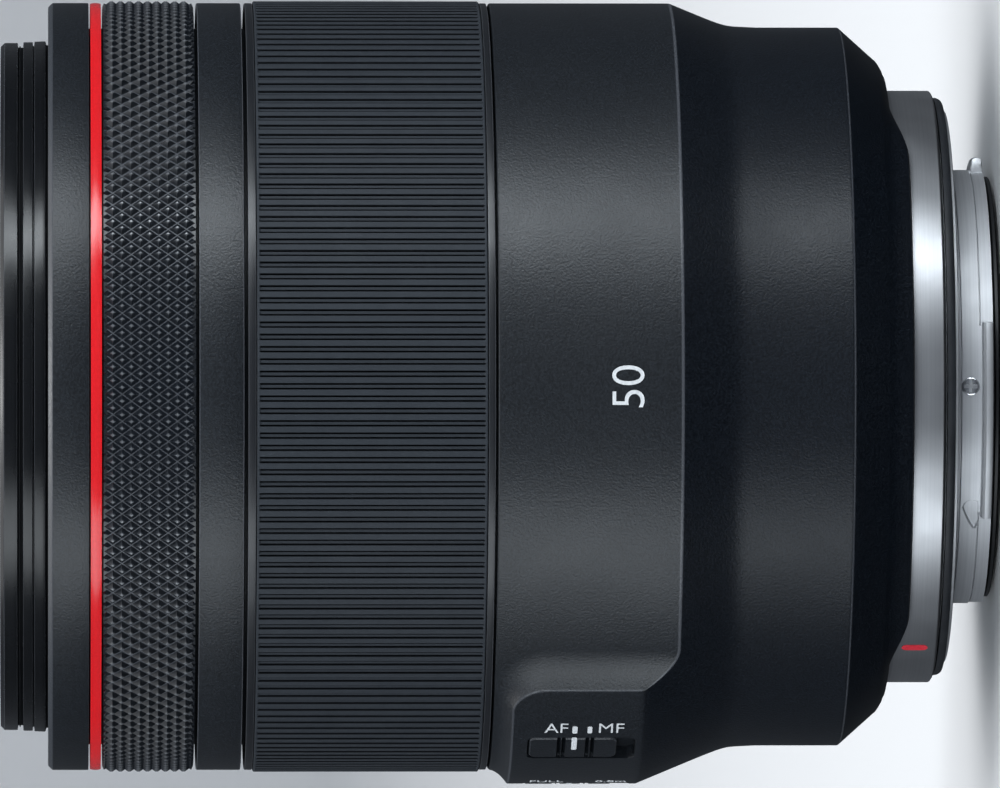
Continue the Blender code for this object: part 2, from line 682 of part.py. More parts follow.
def contacts():
    """The rear light baffle with a notch, and in the notch a block with twelve sprung pins on one strip."""
    half = 0.5 * (CONTACTS + 0.6) * CONTACT_PITCH
    wall = 0.4
    steps = [half + 1.2, half + 1.2 + wall, half + 1.2 + 2.0 * wall]
    marks = [CONTACT_AZIMUTH + side * step for side in (-1.0, 1.0) for step in steps]
    coarse = [k * 360.0 / OUTER_SIDES for k in range(OUTER_SIDES)]
    angles = sorted(marks + [a for a in coarse if all(abs(a - m) > 2.0 for m in marks)])

    def outline(angle):
        away = abs((math.degrees(angle) - CONTACT_AZIMUTH + 180.0) % 360.0 - 180.0)
        notched = away < half + 1.2 + 0.5 * wall
        rim = 107.2 if notched else LENGTH + BAYONET_REACH
        lip = 24.1 if away > half + 1.2 + 1.5 * wall else 22.6
        return [(20.0, 103.9), (22.6, 103.9), (22.6, rim - 0.5), (lip, rim - 0.45), (lip, rim), (20.0, rim)]

    swept("rear_baffle", [math.radians(a) for a in angles], outline, "black_barrel")
    start, end = (math.radians(CONTACT_AZIMUTH + side * half) for side in (-1.0, 1.0))
    places = [
        polar(CONTACT_CIRCLE, math.radians(CONTACT_AZIMUTH + (k - 0.5 * (CONTACTS - 1)) * CONTACT_PITCH))
        for k in range(CONTACTS)
    ]
    holes = [circle(x, y, 0.7, PIN_SIDES) for x, y in places]
    plate("contact_block", sector(20.1, 22.55, start, end, 8), holes, 108.1, 4.5, "black_barrel")
    strip = sector(20.6, 22.1, start, end, 8)
    pins = [(x, y, 0.45, 0.0, 4.9) for x, y in places]
    pinned_plate("contact_pins", strip, pins, 107.6, 0.25, "gold")


def electronics():
    """The main circuit board, a horseshoe round the rear cell."""
    outline = sector(26.0, 38.4, math.radians(-60.0), math.radians(200.0), 20)
    plate("main_board", outline, [], 84.0, 1.0, "circuit")


def main():
    clear_scene()
    outer_rings()
    rear_barrel()
    switches()
    focus_drive()
    focus_unit()
    glass()
    iris()
    mount()
    contacts()
    electronics()


main()
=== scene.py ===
import math

import bmesh
import bpy
import numpy as np
from mathutils import Matrix, Vector


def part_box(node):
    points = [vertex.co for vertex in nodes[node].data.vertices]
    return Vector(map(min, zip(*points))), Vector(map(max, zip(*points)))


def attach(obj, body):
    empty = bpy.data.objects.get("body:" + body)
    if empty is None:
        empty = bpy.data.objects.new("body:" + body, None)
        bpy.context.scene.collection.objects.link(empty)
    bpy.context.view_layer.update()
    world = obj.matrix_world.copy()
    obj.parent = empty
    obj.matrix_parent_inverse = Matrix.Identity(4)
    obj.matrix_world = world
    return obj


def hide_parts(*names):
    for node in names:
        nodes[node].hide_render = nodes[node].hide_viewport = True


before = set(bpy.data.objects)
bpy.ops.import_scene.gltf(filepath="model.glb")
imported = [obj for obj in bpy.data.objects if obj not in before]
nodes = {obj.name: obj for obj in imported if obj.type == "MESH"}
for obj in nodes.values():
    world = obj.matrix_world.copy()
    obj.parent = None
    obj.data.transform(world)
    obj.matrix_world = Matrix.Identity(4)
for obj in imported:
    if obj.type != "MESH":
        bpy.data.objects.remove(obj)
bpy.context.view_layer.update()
mm = 0.001
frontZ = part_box("front_barrel")[1].z  # the front rim; every depth below is counted back from it
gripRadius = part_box("focus_grip")[1].x / mm
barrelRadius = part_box("focus_ring")[1].x / mm
print("frame loaded, front rim at", round(frontZ, 4))


# ---- mesh helpers


def turnToAngle(turn):
    # the printed side faces -Y; a turn runs from there towards -X
    return np.radians(-90.0 - np.asarray(turn, float))


def turnsApart(turn, other):
    # the shorter way round between two turns
    return np.abs((turn - other + 180.0) % 360.0 - 180.0)


def roundAxis(radius, angle, depth):
    # points at a radius and a depth in millimetres and an angle round the optical axis
    radius, angle, depth = np.broadcast_arrays(radius, angle, depth)
    return np.stack([radius * np.cos(angle) * mm, radius * np.sin(angle) * mm, frontZ - depth * mm], axis=-1)


def sideBySide(rows, *parts):
    # columns joined into one grid; a plain list of numbers is repeated on every row
    parts = [np.asarray(part, float) for part in parts]
    return np.concatenate([np.broadcast_to(part, (rows, part.shape[-1])) for part in parts], 1)


def thinned(turns, digits, gap):
    # the turns of a circle in order, without any that follows another too closely
    turns = np.unique(np.round(turns % 360.0, digits))
    return turns[np.concatenate([[True], np.diff(turns) > gap])]


def tessellate(rows, cols, closeRows, closeCols):
    # quads between neighbours of a grid whose points are numbered row by row
    r = np.arange(rows if closeRows else rows - 1)
    c = np.arange(cols if closeCols else cols - 1)
    r, c = np.meshgrid(r, c, indexing="ij")
    rNext, cNext = (r + 1) % rows, (c + 1) % cols
    quads = np.stack([r * cols + c, rNext * cols + c, rNext * cols + cNext, r * cols + cNext], axis=-1)
    return quads.reshape(-1, 4)


def slabFaces(rows, cols):
    # a grid, its copy underneath turned over, and walls between their rims
    right = np.arange(1, rows) * cols + cols - 1
    back = (rows - 1) * cols + np.arange(cols - 2, -1, -1)
    left = np.arange(rows - 2, 0, -1) * cols
    rim = np.concatenate([np.arange(cols), right, back, left])
    rimNext = np.roll(rim, -1)
    walls = np.stack([rim, rim + rows * cols, rimNext + rows * cols, rimNext], -1)
    quads = tessellate(rows, cols, False, False)
    return np.concatenate([quads, quads[:, ::-1] + rows * cols, walls])


def signedVolume(points, faces):
    # six times the volume that the faces shut in, positive where they face out
    a, b, c = (points[faces[:, k]] for k in range(3))
    total = np.einsum("ij,ij->i", a, np.cross(b, c)).sum()
    if faces.shape[1] == 4:
        d = points[faces[:, 3]]
        total += np.einsum("ij,ij->i", a, np.cross(c, d)).sum()
    return total


def weldMesh(mesh, distance):
    shape = bmesh.new()
    shape.from_mesh(mesh)
    bmesh.ops.remove_doubles(shape, verts=shape.verts, dist=distance)
    bmesh.ops.dissolve_degenerate(shape, edges=shape.edges, dist=distance)
    bmesh.ops.recalc_face_normals(shape, faces=shape.faces)
    shape.to_mesh(mesh)
    shape.free()


def addObject(name, data):
    made = bpy.data.objects.new(name, data)
    bpy.context.scene.collection.objects.link(made)
    return made


def finishPiece(name, mesh, material, body, node=None):
    # the mesh becomes a piece that rides on a body and may stand in for a modelled node
    mesh.materials.append(material)
    piece = addObject(name, mesh)
    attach(piece, body)
    if node:
        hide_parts(node)
    return piece


def addPiece(
    name, points, faces, material, body, node=None, slot=None, sharpAngle=30.0, weld=0.0, extra=None
):
    # points in metres, faces as one array of triangles or quads, or several such arrays
    groups = faces if isinstance(faces, (list, tuple)) else [faces]
    points = np.asarray(points, float).reshape(-1, 3)
    if sum(signedVolume(points - points.mean(0), group) for group in groups) < 0:
        groups = [group[:, ::-1] for group in groups]
    mesh = bpy.data.meshes.new(name)
    mesh.vertices.add(len(points))
    mesh.vertices.foreach_set("co", points.astype(np.float32).ravel())
    loops = np.concatenate([group.ravel() for group in groups])
    sizes = np.concatenate([np.full(len(group), group.shape[1]) for group in groups])
    starts = np.concatenate([[0], np.cumsum(sizes)[:-1]])
    mesh.loops.add(len(loops))
    mesh.loops.foreach_set("vertex_index", loops.astype(np.int32))
    mesh.polygons.add(len(sizes))
    mesh.polygons.foreach_set("loop_start", starts.astype(np.int32))
    mesh.polygons.foreach_set("loop_total", sizes.astype(np.int32))
    mesh.update(calc_edges=True)
    mesh.validate()
    for label, values in (extra or {}).items():
        numbers = np.asarray(values, np.float32).ravel()
        mesh.attributes.new(label, "FLOAT", "POINT").data.foreach_set("value", numbers)
    if weld:
        weldMesh(mesh, weld)
    mesh.shade_smooth()
    mesh.set_sharp_from_angle(angle=math.radians(sharpAngle))
    return finishPiece(name, mesh, material, body, node)


def addShell(name, grid, *details, closed=True, **more):
    # a grid whose rows run round the optical axis; its columns close up unless they end on their own axis
    return addPiece(name, grid, tessellate(*grid.shape[:2], True, closed), *details, **more)


def soften(outline, bevel):
    # each corner of a closed outline becomes three points of a quadratic curve from before it to after it.
    # The second result is 1 in the middle of each outward corner, else 0: it marks a painted highlight along
    # the edge, with some wear.
    before = np.roll(outline, 1, axis=0) - outline
    after = np.roll(outline, -1, axis=0) - outline
    ends = []
    for side in (before, after):
        length = np.linalg.norm(side, axis=1)[:, None]
        ends.append(outline + side / np.maximum(length, 1e-9) * np.minimum(bevel, 0.4 * length))
    t = np.linspace(0.0, 1.0, 3)[:, None, None]
    curve = (1 - t) ** 2 * ends[0] + 2 * t * (1 - t) * outline + t**2 * ends[1]
    bend = before[:, 1] * after[:, 0] - before[:, 0] * after[:, 1]
    nextPoint = np.roll(outline, -1, axis=0)
    area = (outline[:, 0] * nextPoint[:, 1] - nextPoint[:, 0] * outline[:, 1]).sum()
    outward = (bend * np.sign(area) > 1e-4).astype(float)
    highlightAndWear = outward[:, None] * np.array([0.0, 1.0, 0.0])
    return curve.transpose(1, 0, 2).reshape(-1, 2), highlightAndWear.ravel()


def lathePoints(outline, sides):
    # every outline point (radius, depth) carried round the optical axis
    outline = np.asarray(outline, float)
    angle = np.arange(sides) * 2 * np.pi / sides
    return roundAxis(outline[:, 0], angle[:, None], outline[:, 1])


def turned(name, outline, material, body, node=None, slot=None, bevel=0.12, sides=192, highlightCorners=()):
    # a ring turned from a closed outline with softened corners; a painted highlight, with some wear, on its
    # outward corners and all over between two chosen corners
    outline = np.asarray(outline, float)
    profile, highlightAndWear = soften(outline, bevel) if bevel else (outline, np.zeros(len(outline)))
    if highlightCorners:
        first, last = highlightCorners
        highlightAndWear[3 * first + 1 : 3 * last + 2] = 1.0  # from the middle of one corner to the middle of the other
    extra = {"highlightAndWear": np.tile(highlightAndWear, sides)}
    return addShell(name, lathePoints(profile, sides), material, body, node, slot, extra=extra)


def wrapFlat(points, turn, depth, radius, upIsFront):
    # a flat print (x right, y up, z off the surface, in millimetres) laid round the barrel
    x, y, lift = points.T
    around, along = (x, y) if upIsFront else (y, -x)
    return roundAxis(radius + lift, turnToAngle(turn) + around / radius, depth - along)


# ---- finishes


def link(tree, source, target):
    tree.links.new(source, target)


def addNode(tree, kind, **sockets):
    made = tree.nodes.new("ShaderNode" + kind)
    for label, value in sockets.items():
        made.inputs[label.replace("_", " ")].default_value = value
    return made


def newMaterial(name, colour, roughness, metallic=0.0, **sockets):
    made = bpy.data.materials.new(name)
    made.use_nodes = True
    shader = made.node_tree.nodes["Principled BSDF"]
    values = {"Base_Color": (*colour, 1.0), "Roughness": roughness, "Metallic": metallic, **sockets}
    for label, value in values.items():
        shader.inputs[label.replace("_", " ")].default_value = value
    return made, made.node_tree, shader


def attribute(tree, label):
    made = addNode(tree, "Attribute")
    made.attribute_name = label
    return made.outputs["Fac"]


def objectCoordinates(tree, turnedPattern=False):
    # plain Object coordinates, or (radius, height) ones whose patterns run round the axis like tool marks
    output = addNode(tree, "TexCoord").outputs["Object"]
    if turnedPattern:
        parts = addNode(tree, "SeparateXYZ")
        link(tree, output, parts.inputs[0])
        flat = addNode(tree, "CombineXYZ")
        link(tree, parts.outputs[0], flat.inputs[0])
        link(tree, parts.outputs[1], flat.inputs[1])
        radius = addNode(tree, "VectorMath")
        radius.operation = "LENGTH"
        link(tree, flat.outputs[0], radius.inputs[0])
        pair = addNode(tree, "CombineXYZ")
        link(tree, radius.outputs["Value"], pair.inputs[0])
        link(tree, parts.outputs[2], pair.inputs[1])
        output = pair.outputs[0]
    return output


def noise(tree, vector, scale, detail=2.0, roughness=0.5):
    made = addNode(tree, "TexNoise", Scale=scale, Detail=detail, Roughness=roughness)
    link(tree, vector, made.inputs["Vector"])
    return made.outputs["Fac"]


def spread(tree, value, low, high, fromLow=0.3, fromHigh=0.7):
    made = addNode(tree, "MapRange", From_Min=fromLow, From_Max=fromHigh, To_Min=low, To_Max=high)
    link(tree, value, made.inputs["Value"])
    return made.outputs["Result"]


def tint(tree, value, dark, light, fromLow=0.3, fromHigh=0.7):
    made = addNode(tree, "ValToRGB")
    for element, position, colour in zip(made.color_ramp.elements, (fromLow, fromHigh), (dark, light)):
        element.position = position
        element.color = (*colour, 1.0)
    link(tree, value, made.inputs[0])
    return made.outputs[0]


def bump(tree, shader, height, distance, strength=1.0):
    made = addNode(tree, "Bump", Distance=distance, Strength=strength)
    link(tree, height, made.inputs["Height"])
    link(tree, made.outputs[0], shader.inputs["Normal"])


def mixed(tree, share, first, second, colours=True):
    # first where the share is 0 and second where it is 1; second is a socket or a plain value
    blend = addNode(tree, "Mix")
    blend.data_type = "RGBA" if colours else "FLOAT"
    low, high, result = (6, 7, 2) if colours else (2, 3, 0)
    link(tree, share, blend.inputs["Factor"])
    link(tree, first, blend.inputs[low])
    if isinstance(second, bpy.types.NodeSocket):
        link(tree, second, blend.inputs[high])
    else:
        blend.inputs[high].default_value = second
    return blend.outputs[result]


def paintHighlightAndWear(tree, shader, colour, roughness, highlightColour, edgeGloss, edgeFrom, label="highlightAndWear"):
    # where the piece's value under label is high the finish is paler and glossier: a painted highlight
    share = spread(tree, attribute(tree, label), 0.0, 1.0, edgeFrom, 1.0)
    colour = mixed(tree, share, colour, (*highlightColour, 1.0))
    link(tree, colour, shader.inputs["Base Color"])
    gloss = mixed(tree, share, roughness, edgeGloss, False)
    link(tree, gloss, shader.inputs["Roughness"])
    return colour, gloss


def glossPatches(tree, place, roughness):
    # slow patches of gloss, as on any handled surface
    return spread(tree, noise(tree, place, 60.0, 3.0), roughness - 0.03, roughness + 0.04)


def speckledPaint(
    name, dark, light, roughness, grain=3800.0, bumpDepth=0.000044, edge=(0.075, 0.080, 0.092), behind=None,
    **sockets
):
    # satin paint: tiny colour specks, an eggshell bump of the same grain, and slow patches of gloss
    made, tree, shader = newMaterial(name, dark, roughness, **sockets)
    place = objectCoordinates(tree)
    specks = noise(tree, place, grain, 2.0, 0.6)
    patches = glossPatches(tree, place, roughness)
    colour = tint(tree, specks, dark, light, 0.35, 0.7)
    if behind:
        # painted shade: behind the ridge the paint is darker and duller, by the piece's own behind value
        farDark, farLight, farShine = behind
        far = attribute(tree, "behind")
        colour = mixed(tree, far, colour, tint(tree, specks, farDark, farLight, 0.35, 0.7))
        link(tree, spread(tree, far, 0.5, farShine, 0.0, 1.0), shader.inputs["Specular IOR Level"])
    # the edge colour is a painted highlight on the piece's marked edges, with some wear
    paintHighlightAndWear(tree, shader, colour, patches, edge, roughness * 0.8, 0.1)
    bump(tree, shader, specks, bumpDepth)
    return made


def knurledMetal(name, dark, light, roughness, valleyHighlightColour, tipHighlightColour, **sockets):
    # dark satin faces, with a painted highlight as paler lines along the crossing valleys and as small bright
    # tips
    made, tree, shader = newMaterial(name, dark, roughness, **sockets)
    place = objectCoordinates(tree)
    specks = noise(tree, place, 4200.0, 2.0, 0.6)
    patches = glossPatches(tree, place, roughness)
    faces = tint(tree, specks, dark, light)
    colour, gloss = paintHighlightAndWear(tree, shader, faces, patches, valleyHighlightColour, 0.5, 0.86, "valley")
    paintHighlightAndWear(tree, shader, colour, gloss, tipHighlightColour, 0.24, 0.72)
    bump(tree, shader, specks, 0.000006)
    return made


def turnedMetal(
    name, dark, light, roughness, metallic=1.0, grain=9000.0, bumpDepth=0.000004, edge=None, **sockets
):
    # lathe-turned metal: rings of tone and roughness that run round the axis
    made, tree, shader = newMaterial(name, dark, roughness, metallic, **sockets)
    rings = noise(tree, objectCoordinates(tree, True), grain, 3.0, 0.7)
    clouds = noise(tree, objectCoordinates(tree), 180.0, 3.0)
    patches = spread(tree, clouds, roughness - 0.04, roughness + 0.05)
    # paler edge colour: a painted highlight on the marked edges, with some wear
    edge = edge or tuple(min(1.0, 1.5 * value) for value in light)
    paintHighlightAndWear(tree, shader, tint(tree, rings, dark, light), patches, edge, roughness * 0.8, 0.1)
    bump(tree, shader, rings, bumpDepth, 0.6)
    return made


def mouldedRubber(name, dark, light, roughness, level=0.5):
    # rubber: a fine matt grain, slightly paler rubbed patches, and painted shade, near black, where the
    # channel value is 1
    made, tree, shader = newMaterial(name, dark, roughness)
    place = objectCoordinates(tree)
    grain = noise(tree, place, 3800.0, 3.0, 0.6)
    deep = attribute(tree, "channel")
    shade = addNode(tree, "VectorMath")
    shade.operation = "SCALE"
    link(tree, tint(tree, noise(tree, place, 300.0, 4.0, 0.65), dark, light), shade.inputs[0])
    link(tree, spread(tree, deep, 1.0, 0.08, 0.0, 1.0), shade.inputs["Scale"])
    link(tree, shade.outputs[0], shader.inputs["Base Color"])
    link(tree, spread(tree, deep, level, 0.02, 0.0, 1.0), shader.inputs["Specular IOR Level"])
    link(tree, spread(tree, grain, roughness - 0.05, roughness + 0.06), shader.inputs["Roughness"])
    bump(tree, shader, grain, 0.00001, 0.6)
    return made


def coatedGlass(name, glassColour, coatColour):
    # clear glass under a coloured coating that shows where it is seen at a slant
    sockets = {"Transmission_Weight": 1.0, "IOR": 1.52, "Specular_IOR_Level": 0.10}
    made, tree, shader = newMaterial(name, glassColour, 0.0, Specular_Tint=(*coatColour, 1.0), **sockets)
    facing = addNode(tree, "LayerWeight", Blend=0.25).outputs["Facing"]
    link(tree, tint(tree, facing, glassColour, coatColour, 0.3, 0.95), shader.inputs["Base Color"])
    wipe = noise(tree, objectCoordinates(tree), 90.0, 2.0)
    link(tree, spread(tree, wipe, 0.0, 0.004), shader.inputs["Roughness"])
    return made


def flatInk(name, dark, light):
    # printed ink, faintly uneven
    made, tree, shader = newMaterial(name, light, 0.5)
    grain = noise(tree, objectCoordinates(tree), 2600.0, 2.0)
    link(tree, tint(tree, grain, dark, light, 0.2, 0.6), shader.inputs["Base Color"])
    bump(tree, shader, grain, 0.000004, 0.4)
    return made


paintTones = ((0.0024, 0.0039, 0.0063), (0.0104, 0.0141, 0.0193))
# darker tones for the painted shade behind the ridge
shadeTones = ((0.0012, 0.0026, 0.0054), (0.0056, 0.0090, 0.0145))
barrelPaint = speckledPaint("barrelPaint", *paintTones, 0.42)
coverPaint = speckledPaint("coverPaint", *paintTones, 0.42, edge=(0.030, 0.034, 0.041))
rearPaint = speckledPaint(
    "rearPaint", *paintTones, 0.42, edge=(0.055, 0.060, 0.070), behind=(*shadeTones, 0.30)
)
frontAnodised = turnedMetal(
    "frontAnodised", (0.0010, 0.0015, 0.0024), (0.0034, 0.0042, 0.0058), 0.26, 0.0, 5000.0,
    edge=(0.05, 0.053, 0.06), Specular_IOR_Level=0.38,
)
ringAnodised = turnedMetal(
    "ringAnodised", (0.0050, 0.0060, 0.0085), (0.0110, 0.0128, 0.0165), 0.38, 0.0, 7000.0,
    edge=(0.06, 0.064, 0.072),
)
# near black: painted shade for the grooves of the front barrel
grooveShadeBlack = turnedMetal(
    "grooveShadeBlack", (0.0006, 0.0009, 0.0016), (0.0014, 0.0018, 0.0028), 0.60, 0.0, 5000.0,
    edge=(0.035, 0.038, 0.043), Specular_IOR_Level=0.12,
)
# the last two colours are painted highlights on the valley lines and on the tips
knurlMetal = knurledMetal(
    "knurlMetal", (0.0030, 0.0046, 0.0080), (0.0075, 0.0105, 0.0155), 0.36,
    (0.060, 0.066, 0.078), (0.105, 0.112, 0.122), Specular_IOR_Level=0.55,
)
gripRubber = mouldedRubber("gripRubber", (0.0228, 0.0276, 0.0346), (0.0264, 0.0318, 0.0394), 0.62, 0.22)
sealRubber = mouldedRubber("sealRubber", (0.012, 0.014, 0.018), (0.020, 0.023, 0.028), 0.55)
redEnamel = speckledPaint(
    "redEnamel", (0.60, 0.0060, 0.0100), (0.66, 0.0080, 0.0130), 0.20, 2600.0, 0.000002, (0.85, 0.10, 0.11),
    Specular_IOR_Level=0.42,
)
mountSteel = turnedMetal("mountSteel", (0.42, 0.425, 0.44), (0.49, 0.495, 0.51), 0.46, 1.0, 6000.0, 0.000002)
bayonetSteel = turnedMetal("bayonetSteel", (0.72, 0.73, 0.75), (0.84, 0.85, 0.87), 0.62, 1.0, 7000.0)
screwSteel = turnedMetal("screwSteel", (0.50, 0.51, 0.53), (0.68, 0.69, 0.71), 0.22)
baffleBlack = speckledPaint(
    "baffleBlack", (0.004, 0.0046, 0.0058), (0.009, 0.010, 0.012), 0.50, 6000.0, 0.00001
)
innerBlack = turnedMetal(
    "innerBlack", (0.004, 0.0045, 0.005), (0.009, 0.0095, 0.0105), 0.55, 0.0, 5000.0, 0.00001,
    edge=(0.03, 0.031, 0.034),
)
whiteInk = flatInk("whiteInk", (0.48, 0.50, 0.52), (0.63, 0.65, 0.67))
redInk = flatInk("redInk", (0.55, 0.008, 0.02), (0.68, 0.014, 0.035))
innerAlloy = turnedMetal("innerAlloy", (0.28, 0.29, 0.31), (0.42, 0.43, 0.45), 0.40)
camBrass = turnedMetal("camBrass", (0.50, 0.34, 0.12), (0.66, 0.47, 0.18), 0.30)
bladeSteel = turnedMetal("bladeSteel", (0.030, 0.031, 0.034), (0.055, 0.056, 0.060), 0.38, 0.7, 4000.0)
contactGold = turnedMetal("contactGold", (0.72, 0.48, 0.15), (0.88, 0.63, 0.25), 0.22)
frontGlass = coatedGlass("frontGlass", (0.52, 0.57, 0.58), (0.10, 0.26, 0.19))
innerGlass = coatedGlass("innerGlass", (0.44, 0.45, 0.50), (0.30, 0.20, 0.42))
boardGreen = speckledPaint(
    "boardGreen", (0.010, 0.070, 0.035), (0.030, 0.140, 0.070), 0.40, 1500.0, 0.00001, (0.1, 0.2, 0.14)
)
print("finishes made")


# ---- front barrel and name ring

frontBarrelShape = {
    "radius": 39.45, "bore": 38.05, "threadRadius": 38.5, "threadPitch": 0.75, "threadDepth": 0.35,
    "rear": 25.0,
}


def buildFrontBarrel():
    # three lands with two grooves between, the plain tube that slides into the sleeve, and the filter thread
    radius, bore, inside, pitch, deep, rear = frontBarrelShape.values()
    outer = [(38.55, 0.0), (38.85, 0.0), (39.3, 0.45), (39.3, 1.95), (38.72, 2.02), (38.72, 2.56)]
    outer += [(39.38, 2.6), (39.4, 3.66), (38.95, 3.70), (38.95, 3.82), (radius, 3.86), (39.5, 5.1)]
    outer += [(39.0, 5.25), (39.0, 5.6), (radius, 5.7), (radius, rear), (bore, rear), (bore, 5.55)]
    crests = np.arange(4.9, 0.7, -pitch)
    ridge = np.stack([np.full_like(crests, inside), crests], -1)
    valley = ridge - np.array([deep, 0.5 * pitch])
    thread = np.stack([ridge, valley], 1).reshape(-1, 2)
    outline = np.concatenate([outer, [(inside, 5.3)], thread, [(inside, 0.45)]])
    turned("FrontBarrel", outline, frontAnodised, "focus_unit", "front_barrel", "black_metal", 0.07, 256)
    # the near-black floors of the two grooves, painted shade for their depth, the first with a fine raised
    # line along it
    ridged = [(38.74, 2.0), (38.77, 2.0), (38.77, 2.12), (38.95, 2.16)]
    ridged += [(38.95, 2.26), (38.77, 2.3), (38.77, 2.58), (38.74, 2.58)]
    plain = [(39.02, 5.2), (39.05, 5.2), (39.05, 5.62), (39.02, 5.62)]
    for name, floor in (("FrontGroove", ridged), ("CoverGroove", plain)):
        turned(name, floor, grooveShadeBlack, "focus_unit", slot="black_metal", bevel=0.03)


nameRingShape = {"steps": 9, "mouth": (33.0, 5.9), "throat": (28.4, 12.0)}


def buildNameRing():
    # a shallow cone of fine steps, each a fall and then a tread, that runs in to the front glass
    (mouthRadius, mouthDepth), (seatRadius, seatDepth) = nameRingShape["mouth"], nameRingShape["throat"]
    count = nameRingShape["steps"]
    k = np.arange(count)
    radius = mouthRadius - (mouthRadius - seatRadius) * np.stack([k, k + 0.85, k + 1.0], -1) / count
    depth = mouthDepth + (seatDepth - mouthDepth) * np.stack([k, k + 0.25, k + 1.0], -1) / count
    steps = np.stack([radius, depth], -1).reshape(-1, 2)
    back = [(seatRadius, 13.3), (29.6, 13.3), (33.6, 7.5), (37.75, 7.5), (37.75, 5.75)]
    back += [(37.1, 5.75), (36.9, 6.0), (33.3, 6.0), (33.1, 5.75)]
    outline = np.concatenate([steps, back])
    turned("NameRing", outline, innerBlack, "focus_unit", "front_trim", "black_metal", 0.05, 160)


# ---- outer rings

coverShape = {"front": 5.41, "rear": 10.02, "chamfer": 0.50, "inner": 40.0, "seat": (41.35, 8.25)}


def buildCover():
    # a ring whose front chamfer carries a painted highlight, paler and glossier, seated on the sleeve by a
    # step
    front, rear, chamfer, inner, (seat, seatDepth) = coverShape.values()
    outline = [(inner, front), (barrelRadius - chamfer, front), (barrelRadius, front + chamfer)]
    outline += [(barrelRadius, rear), (seat, rear), (seat, seatDepth), (inner, seatDepth)]
    details = (coverPaint, "lens_body", "front_cover", "black_barrel")
    turned("FrontCover", outline, *details, bevel=0.09, highlightCorners=(1, 2))


redShape = {"front": 10.2, "rear": 11.42, "crown": 0.1}


def buildRedLine():
    # a band crowned by a tenth of a millimetre so that it carries one long highlight
    front, rear, crown = redShape.values()
    t = np.linspace(0.0, 1.0, 9)
    skin = np.stack([barrelRadius - crown * (2 * t - 1) ** 2, front + (rear - front) * t], -1)
    outline = np.concatenate([skin, [(41.4, rear), (41.4, front)]])
    turned("RedLine", outline, redEnamel, "lens_body", "red_line", "red_paint", bevel=0)


knurlShape = {
    "around": 180, "across": 5, "front": 11.62, "rear": 21.94, "valley": 0.035, "tip": 0.075, "height": 0.6,
    "phase": 0.42, "play": 0.02, "runOut": 0.12, "bore": 41.45, "flankRadius": 43.4,
}


